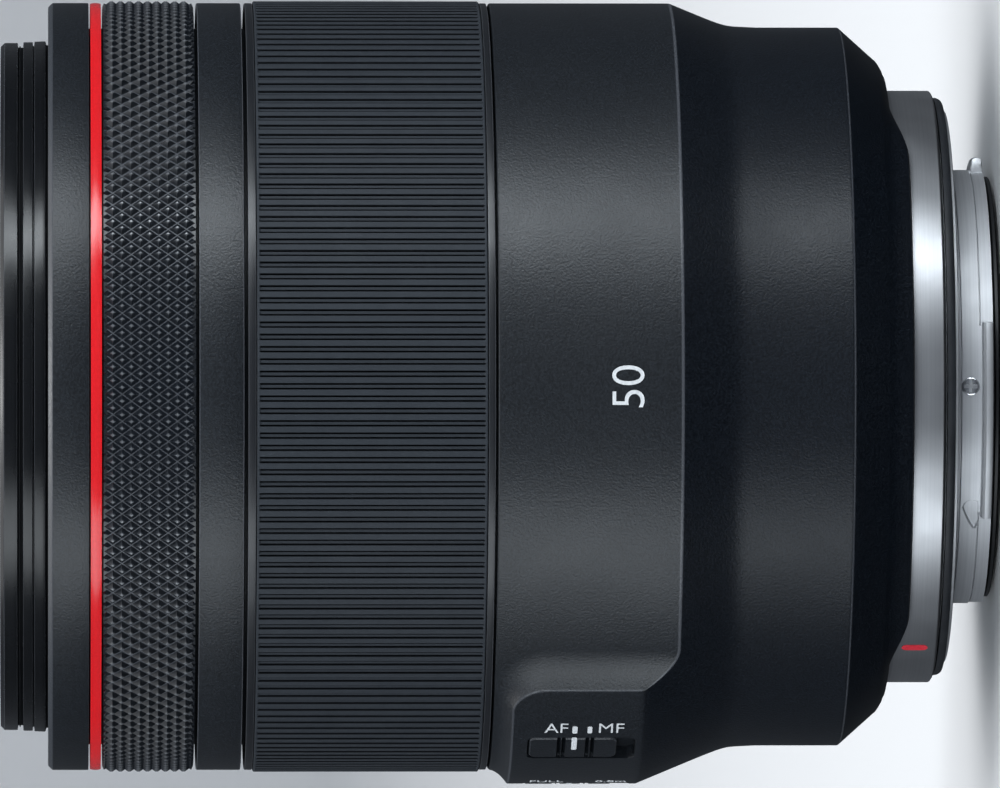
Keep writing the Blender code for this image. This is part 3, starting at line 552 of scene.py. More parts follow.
def buildControlRing():
    # u counts diamonds round the ring and v along it; groove lines are whole values of a = u + v and of
    # b = u - v. Inside each diamond the height climbs from a flat valley line to a small flat tip.
    s = knurlShape
    marks = np.array([0.0, s["valley"], 0.5 - s["tip"], 0.5 + s["tip"], 1.0 - s["valley"]])
    n, depthSteps = len(marks), len(marks) * 2 * s["across"]
    i, d = np.meshgrid(np.arange(s["around"] * n), np.arange(depthSteps + 1), indexing="ij")
    j = i - d
    a, b = (np.floor_divide(step, n) + marks[step % n] for step in (i, j))
    u, v = 0.5 * (a + b), 0.5 * (a - b)
    fromLine = np.minimum(np.abs(a - np.round(a)), np.abs(b - np.round(b)))
    climb = np.clip((fromLine - s["valley"]) / (0.5 - s["tip"] - s["valley"]), 0.0, 1.0)
    ends = np.clip(np.minimum(v, s["across"] - v) / s["runOut"], 0.0, 1.0)
    radius = gripRadius - s["play"] - s["height"] * (1.0 - climb * ends)
    angle = 2 * np.pi * (u + s["phase"]) / s["around"]
    depth = s["front"] + (s["rear"] - s["front"]) * v / s["across"]
    skin = roundAxis(radius, angle, depth)
    rows, cols = i.shape
    # painted highlight on the small flat tips
    highlightAndWear = np.clip((climb * ends - 0.9) / 0.1, 0.0, 1.0)
    # painted highlight along the flat valley lines
    valley = (fromLine <= s["valley"] + 1e-6) * (ends > 0.9)
    # every cell is two triangles, split along the slope's own ridge, and half a cell at the two ends
    crossing = (i % n < n // 2) != (j % n < n // 2)  # cells whose ridge runs the other way
    full = (d >= 1) & (d <= depthSteps - 1)
    tris = []
    for chosen, corners in (
        ((full & ~crossing) | (d == 0), ((0, 0), (1, 0), (1, 1))),
        ((full & ~crossing) | (d == depthSteps), ((0, 0), (1, 1), (0, 1))),
        (full & crossing, ((0, 0), (1, 0), (0, 1))),
        (full & crossing, ((1, 0), (1, 1), (0, 1))),
    ):
        p, q = i[chosen], j[chosen]
        tris.append(np.stack([(p + e) % rows * cols + p + e - q - g for e, g in corners], -1))
    print("knurl:", sum(len(group) for group in tris), "triangles")
    # flanks and bore: rings of plain quads from the last knurl row round the back to the first
    flank, bore, front, rear = s["flankRadius"], s["bore"], s["front"] - 0.02, s["rear"] + 0.03
    sides = [(flank + 0.05, rear - 0.02), (flank, rear), (bore, rear), (bore, front), (flank, front)]
    sides.append((flank + 0.05, front + 0.01))
    plain = lathePoints(sides, s["around"]).reshape(-1, 3)
    plainQuads = tessellate(s["around"], len(sides), True, False) + rows * cols
    first = rows * cols + np.arange(s["around"]) * len(sides)
    points = np.concatenate([skin.reshape(-1, 3), plain])
    endRow = np.arange(rows) * cols
    for edge, anchor in ((endRow, first + len(sides) - 1), (endRow + depthSteps, first)):
        # each point of the knurl's end row is joined to the nearest point of the plain ring beside it
        share = np.arctan2(points[edge, 1], points[edge, 0]) / (2 * np.pi)
        near = np.round(share * s["around"]).astype(int) % s["around"]
        edgeNext, nearNext = np.roll(edge, -1), np.roll(near, -1)
        step = near != nearNext
        tris.append(np.stack([edge, edgeNext, anchor[near]], -1))
        tris.append(np.stack([edgeNext[step], anchor[nearNext[step]], anchor[near[step]]], -1))
    unmarked = np.zeros(len(plain))
    addPiece(
        "ControlRing", points, [np.concatenate(tris), plainQuads], knurlMetal, "control_ring", "control_ring",
        "black_metal", sharpAngle=15.0, weld=1e-8,
        extra={"highlightAndWear": np.append(highlightAndWear, unmarked), "valley": np.append(valley, unmarked)},
    )


sleeveShape = {"inner": 40.0, "outer": 40.95, "front": 8.65, "rear": 59.95, "band": (22.3, 27.36)}


def buildSleeve():
    # a tube with the smooth fixed band between the two rings
    inner, outer, front, rear, (bandFront, bandRear) = sleeveShape.values()
    outline = [(inner, front), (outer, front), (outer, bandFront), (barrelRadius, bandFront)]
    outline += [(barrelRadius, bandRear), (outer, bandRear), (outer, rear), (inner, rear)]
    turned("MainSleeve", outline, barrelPaint, "lens_body", "main_sleeve", "black_barrel", 0.16)


focusRingShape = {"front": 27.78, "rear": 55.47, "lips": (0.92, 0.81), "bore": 41.45, "seat": 42.8}


def buildFocusRing():
    # a tube with a smooth lip at each end of the seat of the grip
    front, rear, (frontLip, rearLip), bore, seat = focusRingShape.values()
    seatFront, seatRear = front + frontLip, rear - rearLip
    outline = [(bore, front), (barrelRadius, front), (barrelRadius, seatFront), (seat, seatFront)]
    outline += [(seat, seatRear), (barrelRadius, seatRear), (barrelRadius, rear), (bore, rear)]
    turned("FocusRing", outline, ringAnodised, "focus_ring", "focus_ring", "black_metal", 0.14)


gripShape = {
    "ribs": 200, "front": 28.78, "rear": 54.58, "groove": 0.48, "margin": 0.24, "flat": 0.70, "round": 0.05,
    "phase": 0.25, "wall": 0.045, "channel": 0.10, "middle": 0.32, "middleCut": 0.32, "edge": 0.12,
    "bore": 42.95,
}


def buildFocusGrip():
    # radius = grip radius minus groove depth times (across profile) times (along profile); both are 0 on the
    # ribs and at the closed ends. Each groove has a narrow deep channel down each side of a higher floor
    s = gripShape
    corner, wall, channel, cut, edge = (s[key] for key in ("round", "wall", "channel", "middleCut", "edge"))
    widths = [0.0, corner, s["flat"] - 2 * corner, corner, wall, channel, wall, s["middle"], wall, channel]
    acrossAt = np.cumsum(widths) / (sum(widths) + wall)
    acrossCut = np.array([edge, 0.0, 0.0, edge, 1.0, 1.0, cut, cut, 1.0, 1.0])
    acrossShade = np.array([0.7, 0.0, 0.0, 0.7, 1.0, 1.0, 0.1, 0.1, 1.0, 1.0])
    ends = np.array([0.0, edge, s["margin"], s["margin"] + 0.08, s["margin"] + 0.2])
    endCut = np.array([0.0, 0.0, 0.0, 0.5, 1.0])
    alongAt = np.concatenate([s["front"] + ends, [35.0, 41.5, 48.0], s["rear"] - ends[::-1]])
    alongCut = np.concatenate([endCut, [1.0, 1.0, 1.0], endCut[::-1]])
    rolled = np.zeros(len(alongAt))
    rolled[[0, -1]] = edge
    theta = (np.arange(s["ribs"])[:, None] + acrossAt + s["phase"]).ravel() * 2 * np.pi / s["ribs"]
    depthOfCut, deep = (np.tile(across, s["ribs"])[:, None] * alongCut for across in (acrossCut, acrossShade))
    rows = len(theta)
    radius = sideBySide(rows, gripRadius - rolled - s["groove"] * depthOfCut, [s["bore"]] * 2)
    grid = roundAxis(radius, theta[:, None], np.append(alongAt, [s["rear"], s["front"]]))
    # the channel value paints shade, near black, into each groove's two channels
    extra = {"channel": sideBySide(rows, deep, [0.0, 0.0])}
    details = (gripRubber, "focus_ring", "focus_grip", "black_rubber")
    addShell("FocusGrip", grid, *details, sharpAngle=25.0, extra=extra)


# ---- rear barrel with its switch panel

panelShape = {
    "radius": 45.48, "turn": 74.3, "halfTurn": 25.3, "front": 57.9, "corner": 4.0, "flank": 5.1,
    "frontFlank": 2.2, "hollow": 2.0, "rimLine": 0.2, "shoulder": 76.4, "slope": 0.42, "waist": 41.13,
    "slotTurns": (64.5, 88.0), "slotFront": 59.66, "slotRear": 71.9, "slotWidth": 5.7, "slotCorner": 1.0,
    "slotDepth": 1.5, "slotWall": 0.05,
}


def panelAway(turn, depth):
    # how far outside the panel's rounded rectangle: in millimetres, and as a share of the flank's width there
    s = panelShape
    across = np.radians(turnsApart(turn, s["turn"]) - s["halfTurn"])
    side = np.maximum(across * s["radius"] + s["corner"], 0.0)
    ahead = np.maximum(s["front"] - depth + s["corner"], 0.0)
    away = np.hypot(side, ahead)
    forward = (ahead / np.maximum(away, 1e-9)) ** 2  # the flank narrows as it turns to face the front
    width = s["flank"] + (s["frontFlank"] - s["flank"]) * forward
    return away - s["corner"], (away - s["corner"]) / width


def ridgeDepth(turn):
    # where the raised surface meets the sloping shoulder
    s = panelShape
    weight = (1.0 - np.clip(panelAway(turn, 74.0)[1], 0.0, 1.0)) ** s["hollow"]
    return s["shoulder"] - (s["radius"] - barrelRadius) * weight / s["slope"]


def slotCut(turn, depth):
    # 1 inside a switch slot with rounded corners, 0 outside, with a thin wall between
    s = panelShape
    corner, front, rear = s["slotCorner"], s["slotFront"], s["slotRear"]
    cut = np.zeros(np.broadcast(turn, depth).shape)
    for slotTurn in s["slotTurns"]:
        across = np.abs(np.radians(turn - slotTurn) * s["radius"]) - 0.5 * s["slotWidth"] + corner
        along = np.abs(depth - 0.5 * (front + rear)) - 0.5 * (rear - front) + corner
        away = np.hypot(np.maximum(across, 0.0), np.maximum(along, 0.0)) - corner
        cut = np.maximum(cut, np.clip(-away / s["slotWall"], 0.0, 1.0))
    return cut


def rearReach(turn):
    # the rear edge reaches further back on the printed side and opposite it, with smooth shoulders
    folded = np.abs((turn + 90.0) % 180.0 - 90.0)
    t = np.clip((64.0 - folded) / 17.0, 0.0, 1.0)
    return 1.8 * t * t * (3.0 - 2.0 * t)


def rearBarrelTurns():
    # fine over the panel and at the slots, whose own edges stay exactly in place
    s = panelShape
    low, high = s["turn"] - s["halfTurn"], s["turn"] + s["halfTurn"]
    half, wall = (np.degrees(size / s["radius"]) for size in (0.5 * s["slotWidth"], s["slotWall"]))
    exact = [low, high]
    coarse = [np.arange(0.0, 360.0, 1.5), np.arange(low - 9.0, high + 9.0, 0.18)]
    for slotTurn in s["slotTurns"]:
        exact += [slotTurn - half, slotTurn - half + wall, slotTurn + half - wall, slotTurn + half]
        coarse += [slotTurn + side * np.arange(half - 1.3, half, 0.09) for side in (-1, 1)]
    coarse = thinned(np.concatenate(coarse), 4, 0.03)
    nearest = np.abs(coarse[:, None] - np.array(exact)).min(1)
    return np.sort(np.concatenate([coarse[nearest > 0.03], exact]))


def buildRearBarrel():
    s = panelShape
    turn = rearBarrelTurns()
    rows = len(turn)
    ridge, reach = ridgeDepth(turn)[:, None], rearReach(turn)[:, None]
    # the raised surface, from the front edge past the slots and back to the ridge
    fixed = np.concatenate([
        [55.7, 55.78, 55.9], np.arange(56.05, 59.6, 0.12), [s["slotFront"], s["slotFront"] + s["slotWall"]],
        np.arange(59.8, 60.8, 0.1), np.arange(61.4, 70.5, 0.9), np.arange(70.8, 71.82, 0.1),
        [s["slotRear"] - s["slotWall"], s["slotRear"], 72.2],
    ])
    t = np.linspace(0.0, 1.0, 7)[1:]
    upper = sideBySide(rows, fixed, fixed[-1] + (ridge - 0.24 - fixed[-1]) * t**0.8, ridge - 0.08)
    away, share = panelAway(turn[:, None], upper)
    raised = barrelRadius + (s["radius"] - barrelRadius) * (1.0 - np.clip(share, 0.0, 1.0)) ** s["hollow"]
    raised -= s["slotDepth"] * slotCut(turn[:, None], upper)
    raised[:, :2] -= [0.25, 0.08]
    # the shoulder slopes down to the waist through a hollow fillet: the smooth larger of two straight lines
    lower = sideBySide(rows, ridge + 0.08, ridge + 0.24 + (84.9 - ridge - 0.24) * np.linspace(0.0, 1.0, 24))
    waist = s["waist"]
    line = barrelRadius - s["slope"] * (lower - s["shoulder"])
    shoulder = 0.5 * (line + waist + np.sqrt((line - waist) ** 2 + 0.25))
    # the waist and its chamfer, the rear edge, and the bore back to the front
    rest = [(waist, 86.4), (waist, 90.0), (waist, 93.5), (waist, 95.5), (waist, 95.68), (waist - 0.05, 95.8)]
    rest = np.array(rest + [(waist - 0.22, 96.0), (37.55, 99.75), (37.35, 100.0), (37.0, 100.25)])
    tailRadius = [36.4, 36.0, 35.7, 35.3, 34.6, 34.42, 34.42]
    tailDepth = 100.6 + np.array([0.0, 0.12, 0.3, 0.38, 0.4, 0.36, -1.6])
    tailDepth = tailDepth + reach * np.array([0.25, 0.7, 0.95, 1.0, 1.0, 1.0, 0.0])
    bore = np.array([(35.8, 99.0), (39.3, 95.2), (39.3, 82.5), (41.35, 76.0), (41.35, 55.7)])
    radius = sideBySide(rows, raised, shoulder, rest[:, 0], tailRadius, bore[:, 0])
    depth = sideBySide(rows, upper, lower, rest[:, 1], tailDepth, bore[:, 1])
    # the painted highlight line follows the panel's rim, the ridge of the shoulder and the rear end of the
    # waist
    highlightAndWear = np.zeros(radius.shape)
    ridgeAt = upper.shape[1]
    waistEnd = ridgeAt + lower.shape[1] + 5
    highlightAndWear[:, :ridgeAt] = np.clip(1.0 - np.abs(away) / s["rimLine"], 0.0, 1.0)
    onPanel = np.clip((1.0 - share[:, -1] - 0.85) / 0.12, 0.0, 1.0)[:, None]
    highlightAndWear[:, ridgeAt - 1 : ridgeAt + 1] = 1.0 - onPanel
    highlightAndWear[:, ridgeAt - 3 : ridgeAt - 1] *= 1.0 - onPanel
    highlightAndWear[:, waistEnd] = 1.0
    # painted shade: behind the ridge the paint is darker and duller, at once on the plain barrel and by
    # degrees behind the panel
    behind = np.clip(0.5 + (depth - ridge) / (0.1 + 1.3 * onPanel), 0.0, 1.0)
    behind[:, -3:] = 0.0
    grid = roundAxis(radius, turnToAngle(turn)[:, None], depth)
    print("rear barrel:", grid.shape[0] * grid.shape[1], "quads")
    details = (rearPaint, "lens_body", "rear_barrel", "black_barrel")
    addShell("RearBarrel", grid, *details, sharpAngle=24.0, extra={"highlightAndWear": highlightAndWear, "behind": behind})


# ---- switches and prints

switchShape = {
    "length": 10.02, "width": 5.25, "corner": 0.9, "top": 45.5, "base": 44.1, "play": 0.15, "roll": 0.3,
    "grooves": (3.42, 3.95, 6.62, 7.2), "grooveHalf": 0.24, "grooveDepth": 0.6,
}


def buildSwitch(name, turn, node):
    # a rounded block seen as a height over (along, across): four V grooves in a flat top, edges rolled down
    s = switchShape
    halfLength, halfWidth, corner, half = 0.5 * s["length"], 0.5 * s["width"], s["corner"], s["grooveHalf"]
    stations = [np.linspace(0, s["length"], 90)]
    stations += [[groove - half, groove, groove + half] for groove in s["grooves"]]
    widths = np.linspace(-halfWidth, halfWidth, 44)
    along, across = np.meshgrid(np.unique(np.concatenate(stations)), widths, indexing="ij")
    pastLength = np.abs(along - halfLength) - halfLength + corner
    pastWidth = np.abs(across) - halfWidth + corner
    over = np.hypot(np.maximum(pastLength, 0.0), np.maximum(pastWidth, 0.0)) / corner
    # corner points are pulled in onto the round outline
    shrink = np.where((pastLength > 0) & (pastWidth > 0) & (over > 1.0), 1.0 / np.maximum(over, 1e-9), 1.0)
    reach = halfLength - corner + pastLength * shrink
    along = np.where(pastLength > 0, halfLength + np.sign(along - halfLength) * reach, along)
    across = np.where(pastWidth > 0, np.sign(across) * (halfWidth - corner + pastWidth * shrink), across)
    inward = np.clip(1.0 - over, 0.0, 1.0)
    edge = s["roll"] * (1.0 - np.clip(inward / 0.3, 0.0, 1.0)) ** 2
    # painted highlight along the rolled edge of the top
    highlightAndWear = 0.6 * np.clip(1.0 - np.abs(inward - 0.15) / 0.15, 0.0, 1.0)
    grooves = sum(np.clip(1.0 - np.abs(along - groove) / half, 0.0, 1.0) for groove in s["grooves"])
    top = s["top"] - edge - s["grooveDepth"] * grooves * np.clip(inward / 0.1, 0, 1)
    angle = turnToAngle(turn) + across / s["top"]
    depth = panelShape["slotFront"] + s["play"] + along
    points = np.concatenate([roundAxis(height, angle, depth).reshape(-1, 3) for height in (top, s["base"])])
    addPiece(
        name, points, slabFaces(*along.shape), barrelPaint, node, node, "switch_plastic", weld=1e-7,
        extra={"highlightAndWear": np.append(highlightAndWear, np.zeros(highlightAndWear.size))},
    )


printShape = {"lift": 0.02, "thick": 0.03}


def printed(name, text, size, turn, depth, radius, upIsFront, narrow, width=-0.006):
    # a line of text made a mesh, stretched to its height in millimetres, then wrapped on the barrel
    curve = bpy.data.curves.new(name, "FONT")
    curve.body = text
    curve.size = 1.0
    curve.offset = width
    curve.extrude = 0.5
    curve.align_x = "CENTER"
    curve.resolution_u = 6
    maker = addObject(name + "Curve", curve)
    bpy.context.view_layer.update()
    mesh = bpy.data.meshes.new_from_object(maker.evaluated_get(bpy.context.evaluated_depsgraph_get()))
    bpy.data.objects.remove(maker)
    points = np.zeros(len(mesh.vertices) * 3, np.float32)
    mesh.vertices.foreach_get("co", points)
    points = points.reshape(-1, 3).astype(float)
    low, high = points.min(0), points.max(0)
    scale = size / (high[1] - low[1])
    flat = (points - 0.5 * (low + high)) * np.array([scale * narrow, scale, 0.0])
    flat[:, 2] = printShape["lift"] + np.where(points[:, 2] > 0, printShape["thick"], 0.0)
    placed = wrapFlat(flat, turn, depth, radius, upIsFront)
    mesh.vertices.foreach_set("co", placed.astype(np.float32).ravel())
    weldMesh(mesh, 1e-7)
    mesh.materials.clear()
    finishPiece(name, mesh, whiteInk, "lens_body")


def printedBar(
    name, length, width, turn, depth, radius, body="lens_body", ink=whiteInk, rounding=0.35, node=None
):
    # a rounded bar, length along the axis and width round it: a grid drawn in at its corners, then wrapped
    steps = np.linspace(-1, 1, 19)
    u, v = np.meshgrid(steps, steps, indexing="ij")
    corner = rounding * min(length, width)
    pastLength = np.maximum((np.abs(u) - 1.0) * 0.5 * length + corner, 0.0)
    pastWidth = np.maximum((np.abs(v) - 1.0) * 0.5 * width + corner, 0.0)
    farther, away = np.maximum(pastLength, pastWidth), np.hypot(pastLength, pastWidth)
    pull = np.where((pastLength > 0) & (pastWidth > 0), farther / np.maximum(away, 1e-9), 1.0)
    x = np.sign(u) * (np.abs(u) * 0.5 * length - pastLength * (1 - pull))
    y = np.sign(v) * (np.abs(v) * 0.5 * width - pastWidth * (1 - pull))
    top = np.stack([x.ravel(), y.ravel(), np.full(x.size, printShape["lift"] + printShape["thick"])], -1)
    under = top * np.array([1.0, 1.0, 0.0]) + np.array([0.0, 0.0, 0.3 * printShape["lift"]])
    points = wrapFlat(np.concatenate([top, under]), turn, depth, radius, False)
    addPiece(name, points, slabFaces(*u.shape), ink, body, node, "black_barrel")


labelShape = {
    "modeTurn": 58.1, "modeHeight": 2.0, "limitTurn": 82.0, "limitHeight": 1.5, "dotTurn": 58.6,
    "barDepth": 64.95,
}


def buildPrints():
    s = labelShape
    panel, knobTop = panelShape["radius"], switchShape["top"] - 0.01
    printed("FocalNumber", "50", 3.62, 0.0, 70.25, barrelRadius, True, 0.98)
    printed("AutoLabel", "AF", s["modeHeight"], s["modeTurn"], 62.85, panel, False, 0.82)
    printed("ManualLabel", "MF", s["modeHeight"], s["modeTurn"], 69.1, panel, False, 0.84)
    printedBar("AutoDot", 0.58, 1.55, s["dotTurn"], s["barDepth"], panel)
    printedBar("ManualDot", 0.52, 1.45, s["dotTurn"], 66.65, panel)
    printedBar("SwitchBar", 0.6, 3.1, 62.75, s["barDepth"], knobTop, "focus_mode_switch")
    printedBar("LimitBar", 0.6, 2.6, 86.6, s["barDepth"], knobTop, "focus_limit_switch")
    printed("FullLabel", "FULL", s["limitHeight"], s["limitTurn"], 62.3, panel, False, 0.85, 0.0)
    printed("NearLabel", "0.8m", s["limitHeight"], s["limitTurn"], 69.6, panel, False, 0.85, 0.0)


# ---- glass and cells

glassShape = {
    # node: (depth of the front vertex, front curve, rear curve, thickness, rim radius, body)
    "glass_group_1": (9.5, 66.0, 230.0, 6.0, 27.5, "focus_unit"),
    "glass_group_2": (15.9, 43.0, 56.0, 8.5, 25.0, "focus_unit"),
    "glass_group_3": (26.4, 38.0, 28.0, 7.9, 20.0, "focus_unit"),
    "glass_group_4": (56.0, -27.0, -42.0, 9.1, 18.0, "focus_unit"),
    "glass_group_5": (65.5, 110.0, -140.0, 8.6, 19.5, "focus_unit"),
    "glass_group_6": (74.5, 80.0, -260.0, 4.6, 20.0, "focus_unit"),
    "glass_group_7": (79.5, 140.0, 150.0, 8.0, 20.5, "focus_unit"),
    "glass_group_8": (93.0, -60.0, -110.0, 6.2, 19.0, "lens_body"),
    "glass_group_9": (99.8, 300.0, -150.0, 3.0, 19.5, "lens_body"),
}


def sag(curve, radius):
    # depth of a spherical face behind its vertex
    return curve - np.copysign(np.sqrt(curve * curve - radius * radius), curve)


def buildGlass():
    # solids of revolution whose outlines start and end on the axis; their poles are welded shut
    gap = 0.02
    for node, (vertex, front, rear, thick, rim, body) in glassShape.items():
        r = rim * np.sin(np.linspace(0.0, 0.5 * np.pi, 20))
        face = np.stack([r, vertex + gap + sag(front, r)], -1)
        back = np.stack([r, vertex + thick - gap + sag(rear, r)], -1)[::-1]
        glass = frontGlass if node == "glass_group_1" else innerGlass
        grid = lathePoints(np.concatenate([face, back]), 96)
        details = (glass, body, node, "glass")
        addShell("Glass" + node[-1], grid, *details, closed=False, sharpAngle=40.0, weld=1e-7)


cellShape = {
    # node: (piece, body, outline of radius and depth)
    "front_cell": ("FrontCell", "focus_unit", (
        (27.75, 13.85), (30.9, 13.85), (30.9, 32.0), (22.6, 33.0), (22.6, 43.0),
        (20.35, 43.0), (20.35, 30.7), (25.35, 30.7), (25.35, 17.6), (27.75, 17.6),
    )),
    "rear_cell": ("RearCell", "focus_unit", (
        (18.35, 49.0), (30.9, 49.0), (30.9, 50.9), (22.6, 50.9), (22.6, 89.3),
        (20.85, 89.3), (20.85, 73.5), (19.85, 73.5), (19.85, 66.6), (18.35, 66.6),
    )),
    "rear_group_cell": ("RearGroupCell", "lens_body", (
        (19.35, 91.0), (24.8, 91.0), (24.8, 103.3), (19.85, 103.3), (19.85, 99.0), (19.35, 99.0),
    )),
}


def buildCells():
    for node, (name, body, outline) in cellShape.items():
        turned(name, outline, innerBlack, body, node, "black_metal", 0.15, 128)


# ---- mount end

mountShape = {
    "ringRadius": 33.9, "ringBore": 31.35, "ringFront": 99.25, "ringRear": 106.43, "indexTurn": 61.0,
    "tubeRadius": 24.83, "tubeBore": 22.92, "flangeFront": 106.5, "tabRadius": 26.27, "tabFront": 110.98,
    "tabRear": 112.28, "tabs": ((9.5, 26.3), (133.0, 22.8), (249.5, 26.3)),
    "pocketTurn": 33.8, "pocketDepth": 110.05, "pocketRadius": 1.05, "pocketTail": 2.9, "pocketCut": 0.28,
}


def buildMountRing():
    s = mountShape
    radius, bore, front, rear = s["ringRadius"], s["ringBore"], s["ringFront"], s["ringRear"]
    outline = [(bore, front), (radius, front), (radius, 106.2), (33.6, rear), (bore, rear)]
    turned("MountRing", outline, mountSteel, "lens_body", "mount_ring", "silver_metal")
    mark = (2.95, 1.2, s["indexTurn"], 103.8, radius - 0.01)
    printedBar("IndexMark", *mark, "lens_body", redInk, 0.5, "index_mark")


sealShape = {"inner": 31.95, "outer": 33.1, "front": 106.62, "rear": 107.6, "roll": 0.35, "bevel": 0.05}


def buildSeal():
    # a lip of rubber with a rolled outer edge
    inner, outer, front, rear, rolled, bevel = sealShape.values()
    t = np.linspace(0.0, 1.0, 9)
    edge = np.stack([outer - rolled * t**3, front + 0.95 * t], -1)
    outline = np.concatenate([[(inner, front)], edge, [(inner, rear)]])
    turned("DustSeal", outline, sealRubber, "lens_body", "dust_seal", "black_rubber", bevel)


def onTab(turn):
    # 1 on a tab, 0 between tabs, with short rounded end walls
    share = [(half + 0.25 - turnsApart(turn, middle)) / 1.1 for middle, half in mountShape["tabs"]]
    return np.clip(np.max(share, axis=0), 0.0, 1.0) ** 0.5


def pocketCut(turn, depth):
    # the teardrop the cutter leaves at the end of the first tab: a round head that narrows to a point
    s = mountShape
    along = np.radians(turn - s["pocketTurn"]) * s["tubeRadius"]
    tail = np.clip(along / s["pocketTail"], 0.0, 1.0)
    head = np.sqrt(np.clip(1.0 - (np.minimum(along, 0.0) / s["pocketRadius"]) ** 2, 0.0, 1.0))
    half = s["pocketRadius"] * head * (1.0 - tail) ** 0.6
    inside = half - np.abs(depth - s["pocketDepth"] - 0.35 * tail)
    return np.clip(inside / 0.12, 0.0, 1.0) * (half > 0.02)


def buildBayonet():
    # a flange, a collar, a tube with fine turned steps, and three tabs whose radius swells from the tube's
    s = mountShape
    tube, bore, front, rear = s["tubeRadius"], s["tubeBore"], s["tabFront"], s["tabRear"]
    ends = [
        np.linspace(middle + side * (half - 0.95), middle + side * (half + 0.3), 12)
        for middle, half in s["tabs"] for side in (-1, 1)
    ]
    turn = thinned(np.concatenate([np.arange(0.0, 360.0, 2.0), np.arange(31.0, 42.0, 0.22), *ends]), 3, 0.02)
    rows = len(turn)
    tab = onTab(turn)[:, None]
    # flange and collar, then the tube's wall, close enough in depth to take the pocket
    flange = [(31.65, s["flangeFront"]), (31.68, 106.56), (31.68, 107.9), (31.6, 107.98), (26.0, 107.98)]
    collar = [(1.0, 107.98), (0.95, 108.0), (0.9, 108.05), (0.88, 108.4), (0.8, 108.46), (-0.9, 108.48)]
    collar += [(-0.9, 108.7), (-0.05, 108.72), (0.0, 108.76)]
    wall = [(tube, depth) for depth in (*np.arange(108.85, 110.6, 0.1), 110.66, 110.72)]
    flange = np.array(flange + [(tube + step, depth) for step, depth in collar] + wall)
    flangeRadius = flange[:, 0] - s["pocketCut"] * pocketCut(turn[:, None], flange[:, 1])
    # a dark groove runs round the tube between the tabs
    stepRadius = tube - (1.0 - tab) * np.array([0.12, 0.7, 0.7, 0.14])
    swell = (s["tabRadius"] - tube) * tab * np.array([0.0, 0.6, 0.86, 1.0, 1.0, 0.9, 0.6])
    tabDepth = [front, front + 0.02, front + 0.15, front + 0.46, rear - 0.42, rear - 0.12, rear]
    radius = sideBySide(rows, flangeRadius, stepRadius, stepRadius[:, -1:] + swell, [bore + 0.03, bore, bore])
    stepDepth = [110.74, 110.76, 110.88, 110.9]
    depth = np.concatenate([flange[:, 1], stepDepth, tabDepth, [rear, rear - 0.1, s["flangeFront"]]])
    grid = roundAxis(radius, turnToAngle(turn)[:, None], depth)
    details = (bayonetSteel, "lens_body", "bayonet_mount", "silver_metal")
    addShell("BayonetMount", grid, *details, sharpAngle=28.0)


def crossHead(radius, height):
    # a low dome over a disc, pressed in along a cross: height falls away from the axis and inside the arms
    share = np.concatenate([0.85 * np.linspace(0.0, 1.0, 30), [0.93, 1.0]])
    angle, away = np.meshgrid(np.arange(96) * 2 * np.pi / 96, radius * share, indexing="ij")
    x, y = away * np.cos(angle), away * np.sin(angle)
    arm = np.clip((0.2 * radius - np.minimum(np.abs(x), np.abs(y))) / (0.06 * radius), 0.0, 1.0)
    reach = np.clip((0.74 * radius - away) / (0.06 * radius), 0.0, 1.0)
    fall = 0.35 * (away / radius) ** 2 + 0.5 * np.clip((away / radius - 0.9) / 0.1, 0, 1) ** 2
    return np.stack([x, y, height * (1.0 - fall - 0.93 * arm * reach)], -1)


def buildScrew(name, node, centre, direction, radius, height, spin=0.0):
    # the head's local z runs along direction; the skirt closes it underneath
    top = crossHead(radius, height)
    skirt = top[:, -1:, :] * np.array([1.0, 1.0, 0.0])
    grid = np.concatenate([top, skirt, 0.0 * skirt], 1) * mm
    c, s = math.cos(spin), math.sin(spin)
    x, y = grid[..., 0] * c - grid[..., 1] * s, grid[..., 0] * s + grid[..., 1] * c
    out = np.array(direction, float)
    side = np.cross(out, (0.0, 0.0, 1.0)) if abs(out[2]) < 0.9 else np.array([1.0, 0.0, 0.0])
    up = np.cross(out, side)
    points = np.array(centre) + x[..., None] * side + y[..., None] * up + grid[..., 2:3] * out
    details = (screwSteel, "lens_body", node, "silver_metal")
    addShell(name, points, *details, closed=False, weld=1e-7, sharpAngle=35.0)


screwShape = {"baffleDepth": 109.7, "baffleHead": (1.05, 0.4), "mountHead": (1.58, 0.55), "sunk": 0.12}


def buildScrews():
    s = screwShape
    angle = turnToAngle(0.0)
    seat = roundAxis(mountShape["tubeRadius"] - s["sunk"], angle, s["baffleDepth"])
    buildScrew("BaffleScrew", "baffle_screw", seat, (math.cos(angle), math.sin(angle), 0.0), *s["baffleHead"])
    for k in range(4):
        node = f"mount_screw_{k + 1}"
        low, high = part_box(node)
        middle = 0.5 * (low + high)
        seat = (middle.x, middle.y, low.z + 0.6 * mm)
        buildScrew(f"MountScrew{k + 1}", node, seat, (0.0, 0.0, -1.0), *s["mountHead"], 0.5 + k)


baffleShape = {
    "rim": 24.05, "wall": 22.55, "inner": 20.05, "front": 103.95, "cutDepth": 107.2,
    "contacts": 12, "circle": 21.3, "pitch": 4.7, "azimuth": 90.0, "pinRise": 1.12,
}


